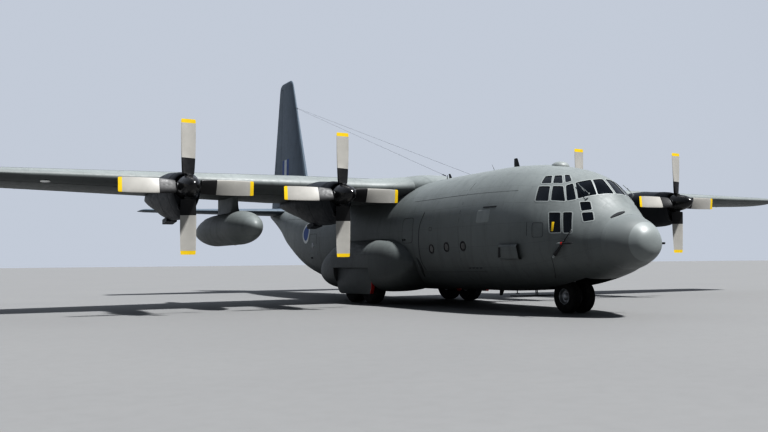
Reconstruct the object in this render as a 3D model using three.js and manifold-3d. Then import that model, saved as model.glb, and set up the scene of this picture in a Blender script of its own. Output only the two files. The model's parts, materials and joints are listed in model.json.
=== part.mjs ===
// Military transport plane with four propellers, a high wing, a rear cargo ramp and landing gear in side fairings.
// Every size below is the full-size aircraft's, in millimetres; the exported group is a 1:2 scale model of it.
// X is to the aircraft's left (port), Z is up from the ground, and a station is counted aft from the nose tip along +Y.
import * as THREE from "three";
import { mergeVertices } from "three/addons/utils/BufferGeometryUtils.js";
import Module from "manifold-3d";

const wasm = await Module();
wasm.setup();

// Driving sizes
const MODEL_SCALE = 0.5;
const LENGTH = 29790;
const ORIGIN_STATION = LENGTH / 2;
const HALF_SPAN = 20205;
const WING_TIP_CAP = 220;
const FIN_TOP = 11660;
const FIT = 0.6; // between pieces that rest on each other
const SEAT_GROWTH = FIT * 1.6; // how far a curved seat is grown so that its gap is at least the fit
const RUNNING_GAP = 14; // between pieces that move past each other
const CONTROL_END_GAP = 20; // beside a control surface's ends, which a swept hinge line shifts sideways
const PIN_SIDES = 12;
const PIN_END_ROOM = 2; // past the end of a pin in its bore
const WIDE = 2500; // wider than the fuselage, for pieces that are cut to it

// Fuselage
const WALL = 120;
const PAST_JOINT = 100; // how far a hollow runs past an open end
const BELOW_HULL = 500;
const REAR_WALL = 80;
const HULL_POINTS = 32;
const RADOME_JOINT = 850;
const COCKPIT_JOINT = 6200;
const HOLD_END = 17550;
const REAR_JOINT = 25200;
const TAIL_CONE_END = 29600;
const HOLD_FLOOR_TOP = 1040;
const HOLD_FLOOR_UNDERSIDE = 600;
const FLOOR_END_GAP = 20;
const HOLD_FLOOR_HALF = 1500;
// station, half width, top, bottom, widest height, upper power, lower power
const HULL = [
  [0, 30, 2010, 1950, 1980, 2, 2],
  [80, 360, 2330, 1670, 1980, 2, 2],
  [250, 540, 2520, 1530, 2000, 2, 2],
  [500, 760, 2670, 1430, 2030, 2, 2.1],
  [850, 980, 2800, 1310, 2050, 2, 2.2],
  [1140, 1110, 3080, 1230, 2090, 1.8, 2.3],
  [1500, 1330, 3510, 1120, 2140, 1.7, 2.4],
  [1880, 1540, 3870, 1030, 2200, 1.75, 2.5],
  [2400, 1800, 4100, 920, 2300, 1.95, 2.6],
  [3070, 1990, 4300, 800, 2380, 2.1, 2.7],
  [4240, 2120, 4520, 670, 2480, 2.05, 2.8],
  [6100, 2160, 4630, 600, 2520, 2, 2.8],
  [17550, 2160, 4630, 600, 2520, 2, 2.8],
  [19600, 2080, 4620, 970, 2720, 2, 3.2],
  [20900, 1970, 4610, 1360, 2920, 2, 3.5],
  [23200, 1620, 4590, 2170, 3300, 2, 3.5],
  [25200, 1200, 4570, 2900, 3620, 2, 2.6],
  [27200, 780, 4540, 3570, 3950, 2, 2.2],
  [29000, 360, 4470, 4080, 4240, 2, 2],
  [29600, 120, 4400, 4240, 4320, 2, 2],
];

// Cockpit window panes on the starboard side, each by four corners [x, station, height]; the port side mirrors them
const WINDOW_DEPTH = 260;
const INSIDE_COCKPIT = [0, 2600, 2600];
const WINDOWS = {
  eyebrow_aft: [[-1110, 3060, 4000], [-1000, 2890, 4000], [-1220, 2670, 3760], [-1360, 2940, 3770]],
  eyebrow_middle: [[-960, 2820, 4000], [-830, 2660, 4000], [-1050, 2380, 3770], [-1190, 2620, 3770]],
  eyebrow_forward: [[-760, 2620, 4010], [-680, 2510, 4010], [-830, 2250, 3820], [-980, 2330, 3790]],
  side_aft: [[-1440, 2930, 3680], [-1300, 2620, 3670], [-1560, 2410, 3250], [-1700, 2790, 3250]],
  side_middle: [[-1260, 2550, 3680], [-1110, 2290, 3670], [-1320, 1990, 3260], [-1520, 2340, 3270]],
  side_forward: [[-1050, 2240, 3690], [-870, 2150, 3750], [-1100, 1770, 3320], [-1280, 1940, 3280]],
  windscreen_outer: [[-800, 2110, 3770], [-400, 1940, 3840], [-570, 1500, 3430], [-1040, 1730, 3340]],
  windscreen_inner: [[-350, 1910, 3830], [-50, 1860, 3840], [-50, 1380, 3430], [-520, 1480, 3430]],
  chin_upper: [[-1070, 1640, 3230], [-860, 1460, 3230], [-940, 1310, 3020], [-1150, 1490, 2990]],
  chin_lower: [[-1180, 1460, 2920], [-970, 1260, 2930], [-1040, 1140, 2710], [-1230, 1340, 2670]],
  tall_aft: [[-1660, 2270, 2900], [-1530, 1980, 2900], [-1620, 1870, 2350], [-1730, 2170, 2340]],
  tall_forward: [[-1490, 1900, 2910], [-1360, 1690, 2910], [-1480, 1580, 2340], [-1580, 1790, 2340]],
};
const GLAZING_THICKNESS = 30;
const GLAZING_BAND = [[980, 3200], [2250, 4080]]; // stations, heights
const FLIGHT_DECK_TOP = 2200;
const FLIGHT_DECK_THICKNESS = 80;
const FLIGHT_DECK_STATIONS = [1500, 6050];
const HATCH = { inner: 1000, ahead: 150, behind: 400 }; // over the crew door
const PANEL = { halfWidth: 1000, front: 1560, back: 1900, top: 3080, shelfBack: 2080, shelf: 70 };
const SEAT = { x: 560, front: 2420, cushionBack: 2900, back: 3040, half: 230, seatTop: 2680, backTop: 3420, pad: 110 };

// Doors
const CREW_DOOR = {
  front: 3620,
  back: 4420,
  sill: 1080,
  head: 2780,
  hingeInset: 34,
  sillRoom: 64,
  tube: 24,
  pin: 14,
  pinDepth: 40,
  reach: 900,
};
const RAMP = {
  half: 1488,
  back: 20860,
  aftThickness: 300,
  aftLean: 115,
  hinge: [17640, 740],
  hingeHalf: 1080,
  opening: THREE.MathUtils.degToRad(27),
  tube: 36,
  pin: 20,
  pinDepth: 50,
  cutHeights: [200, 2300],
};
const REAR_DOOR = {
  half: 1380,
  front: 20890,
  back: 23240,
  thickness: 130,
  taper: 190,
  hinge: [23270, 2455],
  tube: 34,
  tubeInset: 30,
  pin: 20,
  pinDepth: 46,
  arm: { reach: 70, below: 150, above: 10 },
  cutHeights: [900, 3000],
  panelTop: 2900,
  notchTop: 2700,
};

// Wing: quarter chord at a fixed station, constant chord out to the joint, then a straight taper to the tip
const WING = {
  joint: 5590,
  rootChord: 4880,
  tipChord: 2500,
  quarterStation: 12260,
  quarterHeight: 4250,
  rise: Math.tan(THREE.MathUtils.degToRad(0.6)),
  incidence: THREE.MathUtils.degToRad(3),
  rootThickness: 878,
  tipThickness: 300,
  upperShare: 1.12,
};
const SECTION_FRACTIONS = [0.012, 0.05, 0.13, 0.25, 0.42, 0.62, 0.8, 1];
const TRAILING_HALF = 9;
const FLAP_FRACTION = 0.76;
const FLAP_RANGE = THREE.MathUtils.degToRad(36);
const INNER_FLAP = [2330, 5450];
const OUTER_FLAP = [5730, 12130];
const AILERON = [12390, 19480];
const FLAP_AXIS_DROP = { inner: 500, outer: 380 };

// Tail: [span position, leading station, trailing station, thickness]
const TAILPLANE = { height: 4330, root: [0, 25350, 28780, 412], tip: [8025, 26650, 28150, 150] };
const FIN = { root: [4300, 23680, 29790, 610], tip: [FIN_TOP, 26330, 28190, 190] };
const ELEVATOR = [720, 7680];
const ELEVATOR_FRACTION = 0.7;
const RUDDER = [4720, 11330];
const RUDDER_FRACTION = 0.7;
const TAIL_WALL = 32;
const TAIL_CONE_WALL = 60;
const TAIL_CONE_SOLID_FROM = 28300;
const HOLLOW_FRACTIONS = [0.12, 0.25, 0.42, 0.6];
const FIN_HOLLOW_TOP = 11200;
const TAILPLANE_HOLLOW_END = 7600;
// station, top, half thickness of the low fin ahead of the fin
const DORSAL = [
  [20600, 4560, 12],
  [23000, 5080, 60],
  [24480, 6300, 110],
  [25600, 6300, 150],
];

// Engines: propeller centre [x, height], port side; the starboard side mirrors them
const ENGINES = [
  { name: "inner", x: 5005, height: 3800 },
  { name: "outer", x: 10133, height: 3900 },
];
const PROP_STATION = 8750;
const PROP_RADIUS = 2057;
const SPINNER = [[7980, 20], [8040, 130], [8180, 240], [8400, 335], [8650, 380], [8920, 390]];
const SHAFT_RADIUS = 60;
const SHAFT_SIDES = 16;
const NACELLE_WALL = 60;
const PAST_NACELLE = 100; // how far its hollow runs past its open ends
// station, half width, top, bottom, each from the propeller's centre
const NACELLE = [
  [8936, 420, 410, -800],
  [9150, 480, 470, -900],
  [9800, 520, 530, -950],
  [10700, 540, 600, -930],
  [11500, 530, 600, -820],
  [12500, 470, 420, -580],
  [13500, 350, 260, -360],
  [14150, 230, 180, -180],
];
// Heights here too are from the propeller's centre; the rear part of the block lies below the wing
const ENGINE_BLOCK = { half: 380, top: 360, bottom: -840, front: 9420, middle: 10900, back: 12350, rearTop: -40 };
const GEARBOX = { half: 260, top: 260, bottom: -420, front: 9120, bore: 210 };
const TANK = {
  x: 7600,
  height: 2800,
  radius: 580,
  front: 9900,
  back: 17600,
  noseLength: 1800,
  tailLength: 3300,
  tailPower: 1.8,
};
const PYLON = { half: 110, front: 12000, back: 14320, edgeShare: 0.3, tailShare: 0.15, shoulder: 0.06, heights: [-10, 1600] };

// Landing gear
const MAIN_AXLES = [12240, 13770];
const MAIN_TRACK_HALF = 2170;
const MAIN_TYRE = { radius: 710, half: 255, rim: 330 };
const NOSE_AXLE = 3230;
const NOSE_TYRE = { radius: 495, half: 165, x: 262, rim: 235, rimOverlap: 5 };
const WELL = {
  inner: 1700,
  outer: 2640,
  front: 11440,
  back: 14600,
  top: 1760,
  wall: 60,
  cutHeight: 1370,
  linerOuter: 2400,
  linerBottom: 700,
  past: 3000,
};
const STRUT = { x: 1805, radius: 78, below: 70, beamHalf: 50, beamPast: 60, beamHeights: [1500, 1620] };
const MAIN_AXLE_RADIUS = 60;
const MAIN_DOOR = { thickness: 34, frontLow: 150, frontHigh: 40, back: 60, bottom: [380, 350], step: 600, top: 1470 };
// station, outer x, top, bottom of the landing gear fairing
const FAIRING = [
  [9240, 2120, 1680, 1380],
  [9400, 2330, 1920, 1080],
  [9900, 2580, 2240, 720],
  [10700, 2740, 2440, 520],
  [11800, 2800, 2480, 460],
  [14600, 2800, 2480, 460],
  [15800, 2680, 2160, 520],
  [16700, 2440, 1720, 760],
  [17150, 2180, 1380, 980],
];
const FAIRING_CENTRE_X = 1500;
const NOSE_WELL = { half: 640, front: 1950, back: 3950, top: 1700, wall: 50 };
const PISTON_SIDES = 24;
// Lengths along the plane and heights here are from the nose axle, lugs ahead of the leg and links behind it
const NOSE_FORK = {
  pistonRadius: 64,
  bossHalf: 80,
  bossRadius: 76,
  axleRadius: 40,
  lugHalf: 45,
  lugStations: [50, 190],
  lugHeights: [140, 240],
  linkHeights: [150, 200],
};
const NOSE_LEG = {
  radius: 95,
  bottom: 1080,
  boreTop: 1420,
  trunnionHeight: 1500,
  trunnionRadius: 55,
  brace: [[40, 1300], [120, 1600]],
  braceRadius: 35,
};
const NOSE_DOOR = {
  half: 520,
  front: 4300,
  back: 5760,
  drop: 190,
  thickness: 30,
  linkHalf: 14,
  linkLength: 30,
  linkInset: 250,
  linkHeights: [440, 1000],
};

const COLOURS = {
  skin: { color: 0x7c8486, roughness: 0.6, metalness: 0.1 },
  dark: { color: 0x2b3036, roughness: 0.6, metalness: 0.1 },
  tail: { color: 0x5c6670, roughness: 0.6, metalness: 0.1 },
  glass: { color: 0x10161c, roughness: 0.1, metalness: 0 },
  interior: { color: 0x6f7a72, roughness: 0.8, metalness: 0 },
  seat: { color: 0x2f3a30, roughness: 0.9, metalness: 0 },
  blade: { color: 0xc8c8c2, roughness: 0.5, metalness: 0.2 },
  tyre: { color: 0x151515, roughness: 0.9, metalness: 0 },
  wheel: { color: 0xb4b8bc, roughness: 0.4, metalness: 0.7 },
  steel: { color: 0x9aa0a4, roughness: 0.4, metalness: 0.8 },
};

// Solids from geometry and back
function toSolid(geometry) {
  const bare = new THREE.BufferGeometry().setAttribute("position", geometry.getAttribute("position"));
  if (geometry.index) bare.setIndex(geometry.index);
  const merged = mergeVertices(bare, 0.01);
  const vertProperties = new Float32Array(merged.attributes.position.array);
  const triVerts = new Uint32Array(merged.index.array);
  const made = new wasm.Manifold(new wasm.Mesh({ numProp: 3, vertProperties, triVerts }));
  if (made.volume() >= 0) return made;
  for (let i = 0; i < triVerts.length; i += 3) [triVerts[i + 1], triVerts[i + 2]] = [triVerts[i + 2], triVerts[i + 1]];
  return new wasm.Manifold(new wasm.Mesh({ numProp: 3, vertProperties, triVerts }));
}

function toGeometry(solid) {
  const { numProp, numVert, vertProperties, triVerts } = solid.getMesh();
  const positions = new Float32Array(numVert * 3);
  for (let i = 0; i < numVert; i++) positions.set(vertProperties.subarray(i * numProp, i * numProp + 3), i * 3);
  const geometry = new THREE.BufferGeometry().setAttribute("position", new THREE.BufferAttribute(positions, 3));
  geometry.setIndex(new THREE.BufferAttribute(triVerts, 1));
  return geometry;
}

function moved(solid, matrix) {
  return toSolid(toGeometry(solid).applyMatrix4(matrix));
}

const mirrored = (solid) => moved(solid, new THREE.Matrix4().makeScale(-1, 1, 1));
const joined = (...solids) => solids.reduce((all, next) => all.add(next));
const cut = (solid, ...cutters) => cutters.reduce((rest, cutter) => rest.subtract(cutter), solid);

// The main body of a cut solid, without the loose slivers that a cut can leave
function mainBody(solid) {
  const bodies = solid.decompose();
  return bodies.reduce((best, body) => (body.volume() > best.volume() ? body : best));
}

// A closed body through rings of points, all with the same count
function loft(rings) {
  const count = rings[0].length;
  const positions = rings.flat().flatMap((p) => [p.x, p.y, p.z]);
  const index = [];
  for (let ring = 0; ring + 1 < rings.length; ring++) {
    for (let i = 0; i < count; i++) {
      const next = (i + 1) % count;
      const [a, b] = [ring * count + i, ring * count + next];
      index.push(a, b, b + count, a, b + count, a + count);
    }
  }
  [0, rings.length - 1].forEach((ring) => {
    const centre = new THREE.Vector3();
    rings[ring].forEach((p) => centre.addScaledVector(p, 1 / count));
    const hub = positions.length / 3;
    positions.push(centre.x, centre.y, centre.z);
    for (let i = 0; i < count; i++) {
      const [a, b] = [ring * count + i, ring * count + ((i + 1) % count)];
      if (ring === 0) index.push(b, a, hub);
      else index.push(a, b, hub);
    }
  });
  const geometry = new THREE.BufferGeometry();
  geometry.setAttribute("position", new THREE.Float32BufferAttribute(positions, 3));
  geometry.setIndex(index);
  return toSolid(geometry);
}

function box([x0, x1], [y0, y1], [z0, z1]) {
  const geometry = new THREE.BoxGeometry(x1 - x0, y1 - y0, z1 - z0);
  geometry.translate((x0 + x1) / 2, (y0 + y1) / 2, (z0 + z1) / 2);
  return toSolid(geometry);
}

// A round bar between two points
function bar(from, to, radius, sides = PIN_SIDES) {
  const [a, b] = [new THREE.Vector3(...from), new THREE.Vector3(...to)];
  const along = b.clone().sub(a);
  const geometry = new THREE.CylinderGeometry(radius, radius, along.length(), sides);
  const turn = new THREE.Quaternion().setFromUnitVectors(new THREE.Vector3(0, 1, 0), along.clone().normalize());
  geometry.applyQuaternion(turn);
  geometry.translate(...a.add(b).multiplyScalar(0.5).toArray());
  return toSolid(geometry);
}

// The bore that a bar of this radius turns in
const boreRadius = (radius, sides = PIN_SIDES) => (radius + FIT) / Math.cos(Math.PI / sides);

// A side outline of [station, height] points, extruded between two x values
function sideOutline(points, x0, x1) {
  const shape = new THREE.Shape(points.map(([s, z]) => new THREE.Vector2(s, z)));
  const geometry = new THREE.ExtrudeGeometry(shape, { depth: x1 - x0, bevelEnabled: false });
  // shape x becomes the station, shape y the height and the depth x
  geometry.applyMatrix4(new THREE.Matrix4().set(0, 0, 1, x0, 1, 0, 0, 0, 0, 1, 0, 0, 0, 0, 0, 1));
  return toSolid(geometry);
}

// A turned body about a line along X or Y through a centre, from [distance along, radius] points
function turned(profile, axis, [x, y, z], sides = 24, start = 0) {
  const geometry = new THREE.LatheGeometry(
    profile.map(([along, radius]) => new THREE.Vector2(radius, along)),
    sides,
    start,
  );
  if (axis === "x") geometry.rotateZ(-Math.PI / 2);
  geometry.translate(x, y, z);
  return toSolid(geometry);
}

// Fuselage rings
function hullRow(station) {
  const after = HULL.findIndex((row) => row[0] >= station);
  if (after <= 0) return HULL[0];
  const [low, high] = [HULL[after - 1], HULL[after]];
  const share = (station - low[0]) / (high[0] - low[0]);
  return low.map((value, i) => value + share * (high[i] - value));
}

function hullRing(station, inset = 0, raise = 0) {
  const [, halfWidth, top, bottom, widest, upper, lower] = hullRow(station);
  const ring = [];
  for (let i = 0; i < HULL_POINTS; i++) {
    const angle = (2 * Math.PI * i) / HULL_POINTS;
    const [c, s] = [Math.cos(angle), Math.sin(angle)];
    const power = s >= 0 ? upper : lower;
    const reach = s >= 0 ? top - inset - widest : widest - bottom - inset;
    const x = (halfWidth - inset) * Math.sign(c) * Math.abs(c) ** (2 / power);
    const z = widest + reach * Math.sign(s) * Math.abs(s) ** (2 / power);
    ring.push(new THREE.Vector3(x, station, z + raise));
  }
  return ring;
}

function hullBody(from, to, inset = 0, raise = 0) {
  const stations = HULL.map((row) => row[0]).filter((s) => s > from && s < to);
  return loft([from, ...stations, to].map((s) => hullRing(s, inset, raise)));
}

// Half the width of the hull's outside at a station and height
function hullHalfWidth(station, height) {
  const [, halfWidth, top, bottom, widest, upper, lower] = hullRow(station);
  const power = height >= widest ? upper : lower;
  const reach = height >= widest ? top - widest : widest - bottom;
  const share = Math.min(1, Math.abs(height - widest) / reach);
  return halfWidth * (1 - share ** power) ** (1 / power);
}

// Lifting surfaces: each gives its leading station, chord, mean height and thickness at a span position
function wingAt(span) {
  const share = Math.max(0, span - WING.joint) / (HALF_SPAN - WING.joint);
  const chord = WING.rootChord + share * (WING.tipChord - WING.rootChord);
  const rise = Math.max(0, span - WING.joint) * WING.rise;
  return {
    leading: WING.quarterStation - chord / 4,
    chord,
    height: WING.quarterHeight + rise + (chord / 4) * Math.sin(WING.incidence),
    slope: Math.sin(WING.incidence),
    thickness: WING.rootThickness + share * (WING.tipThickness - WING.rootThickness),
    upper: WING.upperShare,
    place: (station, height) => new THREE.Vector3(span, station, height),
  };
}

function taperedAt({ root, tip }, span, place) {
  const share = (span - root[0]) / (tip[0] - root[0]);
  const [, leading, trailing, thickness] = root.map((value, i) => value + share * (tip[i] - value));
  return { leading, chord: trailing - leading, height: 0, slope: 0, thickness, upper: 1, place };
}

const tailplaneAt = (span) =>
  taperedAt(TAILPLANE, span, (station, offset) => new THREE.Vector3(span, station, TAILPLANE.height + offset));
const finAt = (span) => taperedAt(FIN, span, (station, offset) => new THREE.Vector3(offset, station, span));

// Half thickness of a four-digit section with a closed trailing edge
function halfThickness(section, f) {
  const curve = 0.2969 * Math.sqrt(f) - 0.126 * f - 0.3516 * f ** 2 + 0.2843 * f ** 3 - 0.1036 * f ** 4;
  return Math.max(TRAILING_HALF, 5 * section.thickness * curve);
}

const meanHeight = (section, f) => section.height - section.slope * section.chord * f;

function sectionRing(section, grow = 0) {
  const { leading, chord, upper, place } = section;
  const at = (f, side) => {
    const share = side > 0 ? upper : 2 - upper;
    const aft = f === 1 ? grow : 0;
    return place(leading + f * chord + aft, meanHeight(section, f) + side * (share * halfThickness(section, f) + grow));
  };
  const over = [...SECTION_FRACTIONS].reverse().map((f) => at(f, 1));
  const under = SECTION_FRACTIONS.map((f) => at(f, -1));
  return [...over, place(leading - grow, meanHeight(section, 0)), ...under];
}

const surfaceBody = (at, spans, grow = 0) => loft(spans.map((span) => sectionRing(at(span), grow)));

// The hollow inside a tail surface, between its nose and the front of its movable part
function hollowRing(section) {
  const at = (f, side) => {
    const offset = halfThickness(section, f) - TAIL_WALL;
    return section.place(section.leading + f * section.chord, meanHeight(section, f) + side * offset);
  };
  const over = HOLLOW_FRACTIONS.map((f) => at(f, 1));
  const under = [...HOLLOW_FRACTIONS].reverse().map((f) => at(f, -1));
  return [...over, ...under];
}

const hollowBody = (at, spans) => loft(spans.map((span) => hollowRing(at(span))));

// The port wing and tailplane, a little larger, for the pieces that are cut to fit them
const wingRoom = () => surfaceBody(wingAt, [0, WING.joint, HALF_SPAN - WING_TIP_CAP], SEAT_GROWTH);
const tailplaneRoom = () => surfaceBody(tailplaneAt, [0, TAILPLANE.tip[0]], SEAT_GROWTH);

// The hinge point of a control surface: on the mean line, with the nose radius round it
function hingeAt(at, span, fraction) {
  const section = at(span);
  const half = halfThickness(section, fraction);
  const centre = meanHeight(section, fraction) + (section.upper - 1) * half;
  return { section, station: section.leading + fraction * section.chord, centre, radius: half };
}

function controlRing(at, span, fraction) {
  const { section, station, centre, radius } = hingeAt(at, span, fraction);
  const ring = [];
  const NOSE_STEPS = 6;
  for (let i = 0; i <= NOSE_STEPS; i++) {
    const angle = Math.PI / 2 + (Math.PI * i) / NOSE_STEPS;
    ring.push(section.place(station + radius * Math.cos(angle), centre + radius * Math.sin(angle)));
  }
  const trailing = section.leading + section.chord;
  const end = meanHeight(section, 1);
  ring.push(section.place(trailing, end - TRAILING_HALF), section.place(trailing, end + TRAILING_HALF));
  return ring;
}

// The room that a control surface needs, cut out of the surface that carries it
function controlRoom(at, [from, to], fraction) {
  const FAR = 900;
  const ring = (span) => {
    const { section, station, centre, radius } = hingeAt(at, span, fraction);
    const front = station - radius - RUNNING_GAP;
    const back = section.leading + section.chord + FAR;
    return [
      section.place(front, centre - FAR),
      section.place(back, centre - FAR),
      section.place(back, centre + FAR),
      section.place(front, centre + FAR),
    ];
  };
  return loft([ring(from - CONTROL_END_GAP), ring(to + CONTROL_END_GAP)]);
}

// A control surface with a pin at each end, and what is cut for it
const HINGE_PIN = { radius: 22, depth: 46 };

function control(at, spans, fraction) {
  const body = loft(spans.map((span) => controlRing(at, span, fraction)));
  const [a, b] = spans.map((span) => {
    const hinge = hingeAt(at, span, fraction);
    return hinge.section.place(hinge.station, hinge.centre);
  });
  const along = b.clone().sub(a).normalize();
  const reach = CONTROL_END_GAP + HINGE_PIN.depth;
  const from = a.clone().addScaledVector(along, -reach);
  const to = b.clone().addScaledVector(along, reach);
  const boreFrom = from.clone().addScaledVector(along, -PIN_END_ROOM);
  const boreTo = to.clone().addScaledVector(along, PIN_END_ROOM);
  return {
    body: joined(body, bar(from.toArray(), to.toArray(), HINGE_PIN.radius)),
    room: controlRoom(at, spans, fraction),
    bore: bar(boreFrom.toArray(), boreTo.toArray(), boreRadius(HINGE_PIN.radius)),
    axis: [a, b],
  };
}

// A flap swings about a line below its nose; a roller at each end runs in a curved track in the ribs beside it
const ROLLER = { radius: 26, depth: 40, trackOverlap: 60 };
const FLAP_END_GAP = 44; // the swept hinge line shifts a lowered flap sideways
const TRACK_STEPS = 6;
const TRACK_END_ROOM = 1.08;

function flap(spans, drop) {
  const { axis } = control(wingAt, spans, FLAP_FRACTION);
  const [from, to] = spans;
  const spread = FLAP_END_GAP - CONTROL_END_GAP;
  const room = controlRoom(wingAt, [from - spread, to + spread], FLAP_FRACTION);
  const pivots = axis.map((p) => p.clone().add(new THREE.Vector3(0, 0, -drop)));
  const line = pivots[1].clone().sub(pivots[0]).normalize();
  const reach = FLAP_END_GAP + ROLLER.depth;
  const along = axis[1].clone().sub(axis[0]).normalize();
  const beyond = (end, distance) => axis[end].clone().addScaledVector(along, end ? distance : -distance);
  const skin = loft(spans.map((span) => controlRing(wingAt, span, FLAP_FRACTION)));
  const track = (end) => {
    const ends = [beyond(end, -ROLLER.trackOverlap), beyond(end, reach + PIN_END_ROOM)];
    return loft(ends.map((point) => trackRing(point, pivots[0], line)));
  };
  return {
    body: joined(skin, bar(beyond(0, reach).toArray(), beyond(1, reach).toArray(), ROLLER.radius)),
    room,
    tracks: [track(0), track(1)],
    axis: pivots,
  };
}

// The outline of the curved track that a roller at this point needs as it swings about the line
function trackRing(roller, pivot, line) {
  const centre = pivot.clone().addScaledVector(line, roller.clone().sub(pivot).dot(line));
  const arm = roller.clone().sub(centre);
  const half = boreRadius(ROLLER.radius);
  const edge = (share, reach) => {
    const turn = new THREE.Quaternion().setFromAxisAngle(line, -FLAP_RANGE * share);
    return arm.clone().setLength(arm.length() + reach).applyQuaternion(turn).add(centre);
  };
  const overrun = (TRACK_END_ROOM * half) / (arm.length() * FLAP_RANGE);
  const shares = [-overrun];
  for (let i = 0; i <= TRACK_STEPS; i++) shares.push(i / TRACK_STEPS);
  shares.push(1 + overrun);
  return [...shares.map((share) => edge(share, half)), ...shares.reverse().map((share) => edge(share, -half))];
}

// Fuselage pieces
function windowCutters() {
  const middle = new THREE.Vector3(...INSIDE_COCKPIT);
  const one = (corners, side) => {
    const points = corners.map(([x, s, z]) => new THREE.Vector3(-side * x, s, z));
    const normal = points[2].clone().sub(points[0]).cross(points[3].clone().sub(points[1])).normalize();
    if (normal.dot(points[0].clone().sub(middle)) < 0) normal.negate();
    const ring = (depth) => points.map((p) => p.clone().addScaledVector(normal, depth));
    return loft([ring(-WINDOW_DEPTH), ring(WINDOW_DEPTH)]);
  };
  return Object.values(WINDOWS).flatMap((corners) => [one(corners, 1), one(corners, -1)]);
}

// The crew door turns outwards about a line just inside the skin at its sill, which the hull's curve sets at a slant
function crewDoorShapes() {
  const { front, back, sill, head, hingeInset, sillRoom, tube, pin, pinDepth, reach: across } = CREW_DOOR;
  const end = (station) => new THREE.Vector3(hullHalfWidth(station, sill) - hingeInset, station, sill);
  const [a, b] = [end(front), end(back)];
  const middle = a.clone().add(b).multiplyScalar(0.5);
  const length = a.distanceTo(b);
  const place = new THREE.Matrix4()
    .makeTranslation(...middle.toArray())
    .multiply(new THREE.Matrix4().makeRotationZ(Math.atan2(a.x - b.x, b.y - a.y)));
  const line = (reach, radius) => moved(bar([0, -length / 2 - reach, 0], [0, length / 2 + reach, 0], radius), place);
  const block = (gap, low) =>
    moved(box([-across, across], [-length / 2 - gap, length / 2 + gap], [low, head - sill + gap]), place);
  const wall = cut(hullBody(front - 600, back + 600), hullBody(front - 700, back + 700, WALL));
  const pinReach = RUNNING_GAP + pinDepth;
  return {
    door: joined(wall.intersect(block(0, 0)), line(0, tube), line(pinReach, pin)),
    room: joined(block(RUNNING_GAP, -sillRoom), line(pinReach + PIN_END_ROOM, boreRadius(pin))),
  };
}

// The cargo ramp turns down about a line in the wall at its front; below that line its front edge slants aft
function rampShapes() {
  const { half, back, aftThickness, aftLean, hinge, hingeHalf, opening, tube, pin, pinDepth } = RAMP;
  const [hingeStation, hingeHeight] = hinge;
  const aftBottom = hullRow(back)[3];
  const [LOW, HIGH] = RAMP.cutHeights;
  const slant = (hingeHeight - LOW) * Math.tan(opening);
  const outline = [
    [hingeStation + slant, LOW],
    [hingeStation, hingeHeight],
    [hingeStation, HOLD_FLOOR_TOP],
    [back - aftLean, aftBottom + aftThickness],
    [back, aftBottom],
    [back, LOW],
  ];
  const line = (reach, radius) => {
    const end = hingeHalf + reach;
    return bar([-end, hingeStation, hingeHeight], [end, hingeStation, hingeHeight], radius);
  };
  const wedge = hullBody(HOLD_END, back + 400).intersect(sideOutline(outline, -half, half));
  const pinReach = RUNNING_GAP + pinDepth;
  const side = half + RUNNING_GAP;
  const opened = box([-side, side], [hingeStation - RUNNING_GAP, back + RUNNING_GAP], [LOW, HIGH]);
  return {
    ramp: mainBody(joined(wedge, line(0, tube), line(pinReach, pin))),
    room: joined(opened, line(RUNNING_GAP, tube + RUNNING_GAP), line(pinReach + PIN_END_ROOM, boreRadius(pin))),
  };
}

function rearDoorShapes() {
  const { half, front, back, thickness, hinge, tube, tubeInset, taper, pin, pinDepth, arm } = REAR_DOOR;
  const [hingeStation, hingeHeight] = hinge;
  const [LOW, HIGH] = REAR_DOOR.cutHeights;
  const plan = (gap) => {
    const ring = (z) => [
      new THREE.Vector3(-half - gap, front - gap, z),
      new THREE.Vector3(half + gap, front - gap, z),
      new THREE.Vector3(half - taper + gap, back + gap, z),
      new THREE.Vector3(-half + taper - gap, back + gap, z),
    ];
    return loft([ring(LOW), ring(HIGH)]);
  };
  const skin = cut(hullBody(front - 300, back + 500), hullBody(front - 400, back + 600, 0, thickness));
  const lower = box([-WIDE, WIDE], [front - 500, back + 800], [LOW, REAR_DOOR.panelTop]);
  const tubeHalf = half - taper - tubeInset;
  const line = (reach, radius) => {
    const end = tubeHalf + reach;
    return bar([-end, hingeStation, hingeHeight], [end, hingeStation, hingeHeight], radius);
  };
  const armHeights = [hingeHeight - arm.below, hingeHeight + arm.above];
  const arms = box([-tubeHalf, tubeHalf], [back - arm.reach, hingeStation], armHeights);
  const panel = skin.intersect(plan(0)).intersect(lower);
  const pinReach = RUNNING_GAP + pinDepth;
  const notchHalf = tubeHalf + RUNNING_GAP;
  const notchStations = [back - arm.reach - 2 * RUNNING_GAP, hingeStation + tube + RUNNING_GAP];
  const notch = box([-notchHalf, notchHalf], notchStations, [LOW, REAR_DOOR.notchTop]);
  return {
    door: mainBody(joined(panel, arms, line(0, tube), line(pinReach, pin))),
    room: joined(plan(RUNNING_GAP), notch),
    bore: line(pinReach + PIN_END_ROOM, boreRadius(pin)),
  };
}

// Landing gear fairing on the port side, hollow where the wheels stand
function fairingRing([station, outer, top, bottom]) {
  const ring = [];
  const POINTS = 20;
  const [middle, reach] = [(top + bottom) / 2, (top - bottom) / 2];
  for (let i = 0; i < POINTS; i++) {
    const angle = (2 * Math.PI * i) / POINTS;
    const [c, s] = [Math.cos(angle), Math.sin(angle)];
    const x = FAIRING_CENTRE_X + (outer - FAIRING_CENTRE_X) * Math.sign(c) * Math.abs(c) ** 0.7;
    ring.push(new THREE.Vector3(x, station, middle + reach * Math.sign(s) * Math.abs(s) ** 0.7));
  }
  return ring;
}

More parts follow.
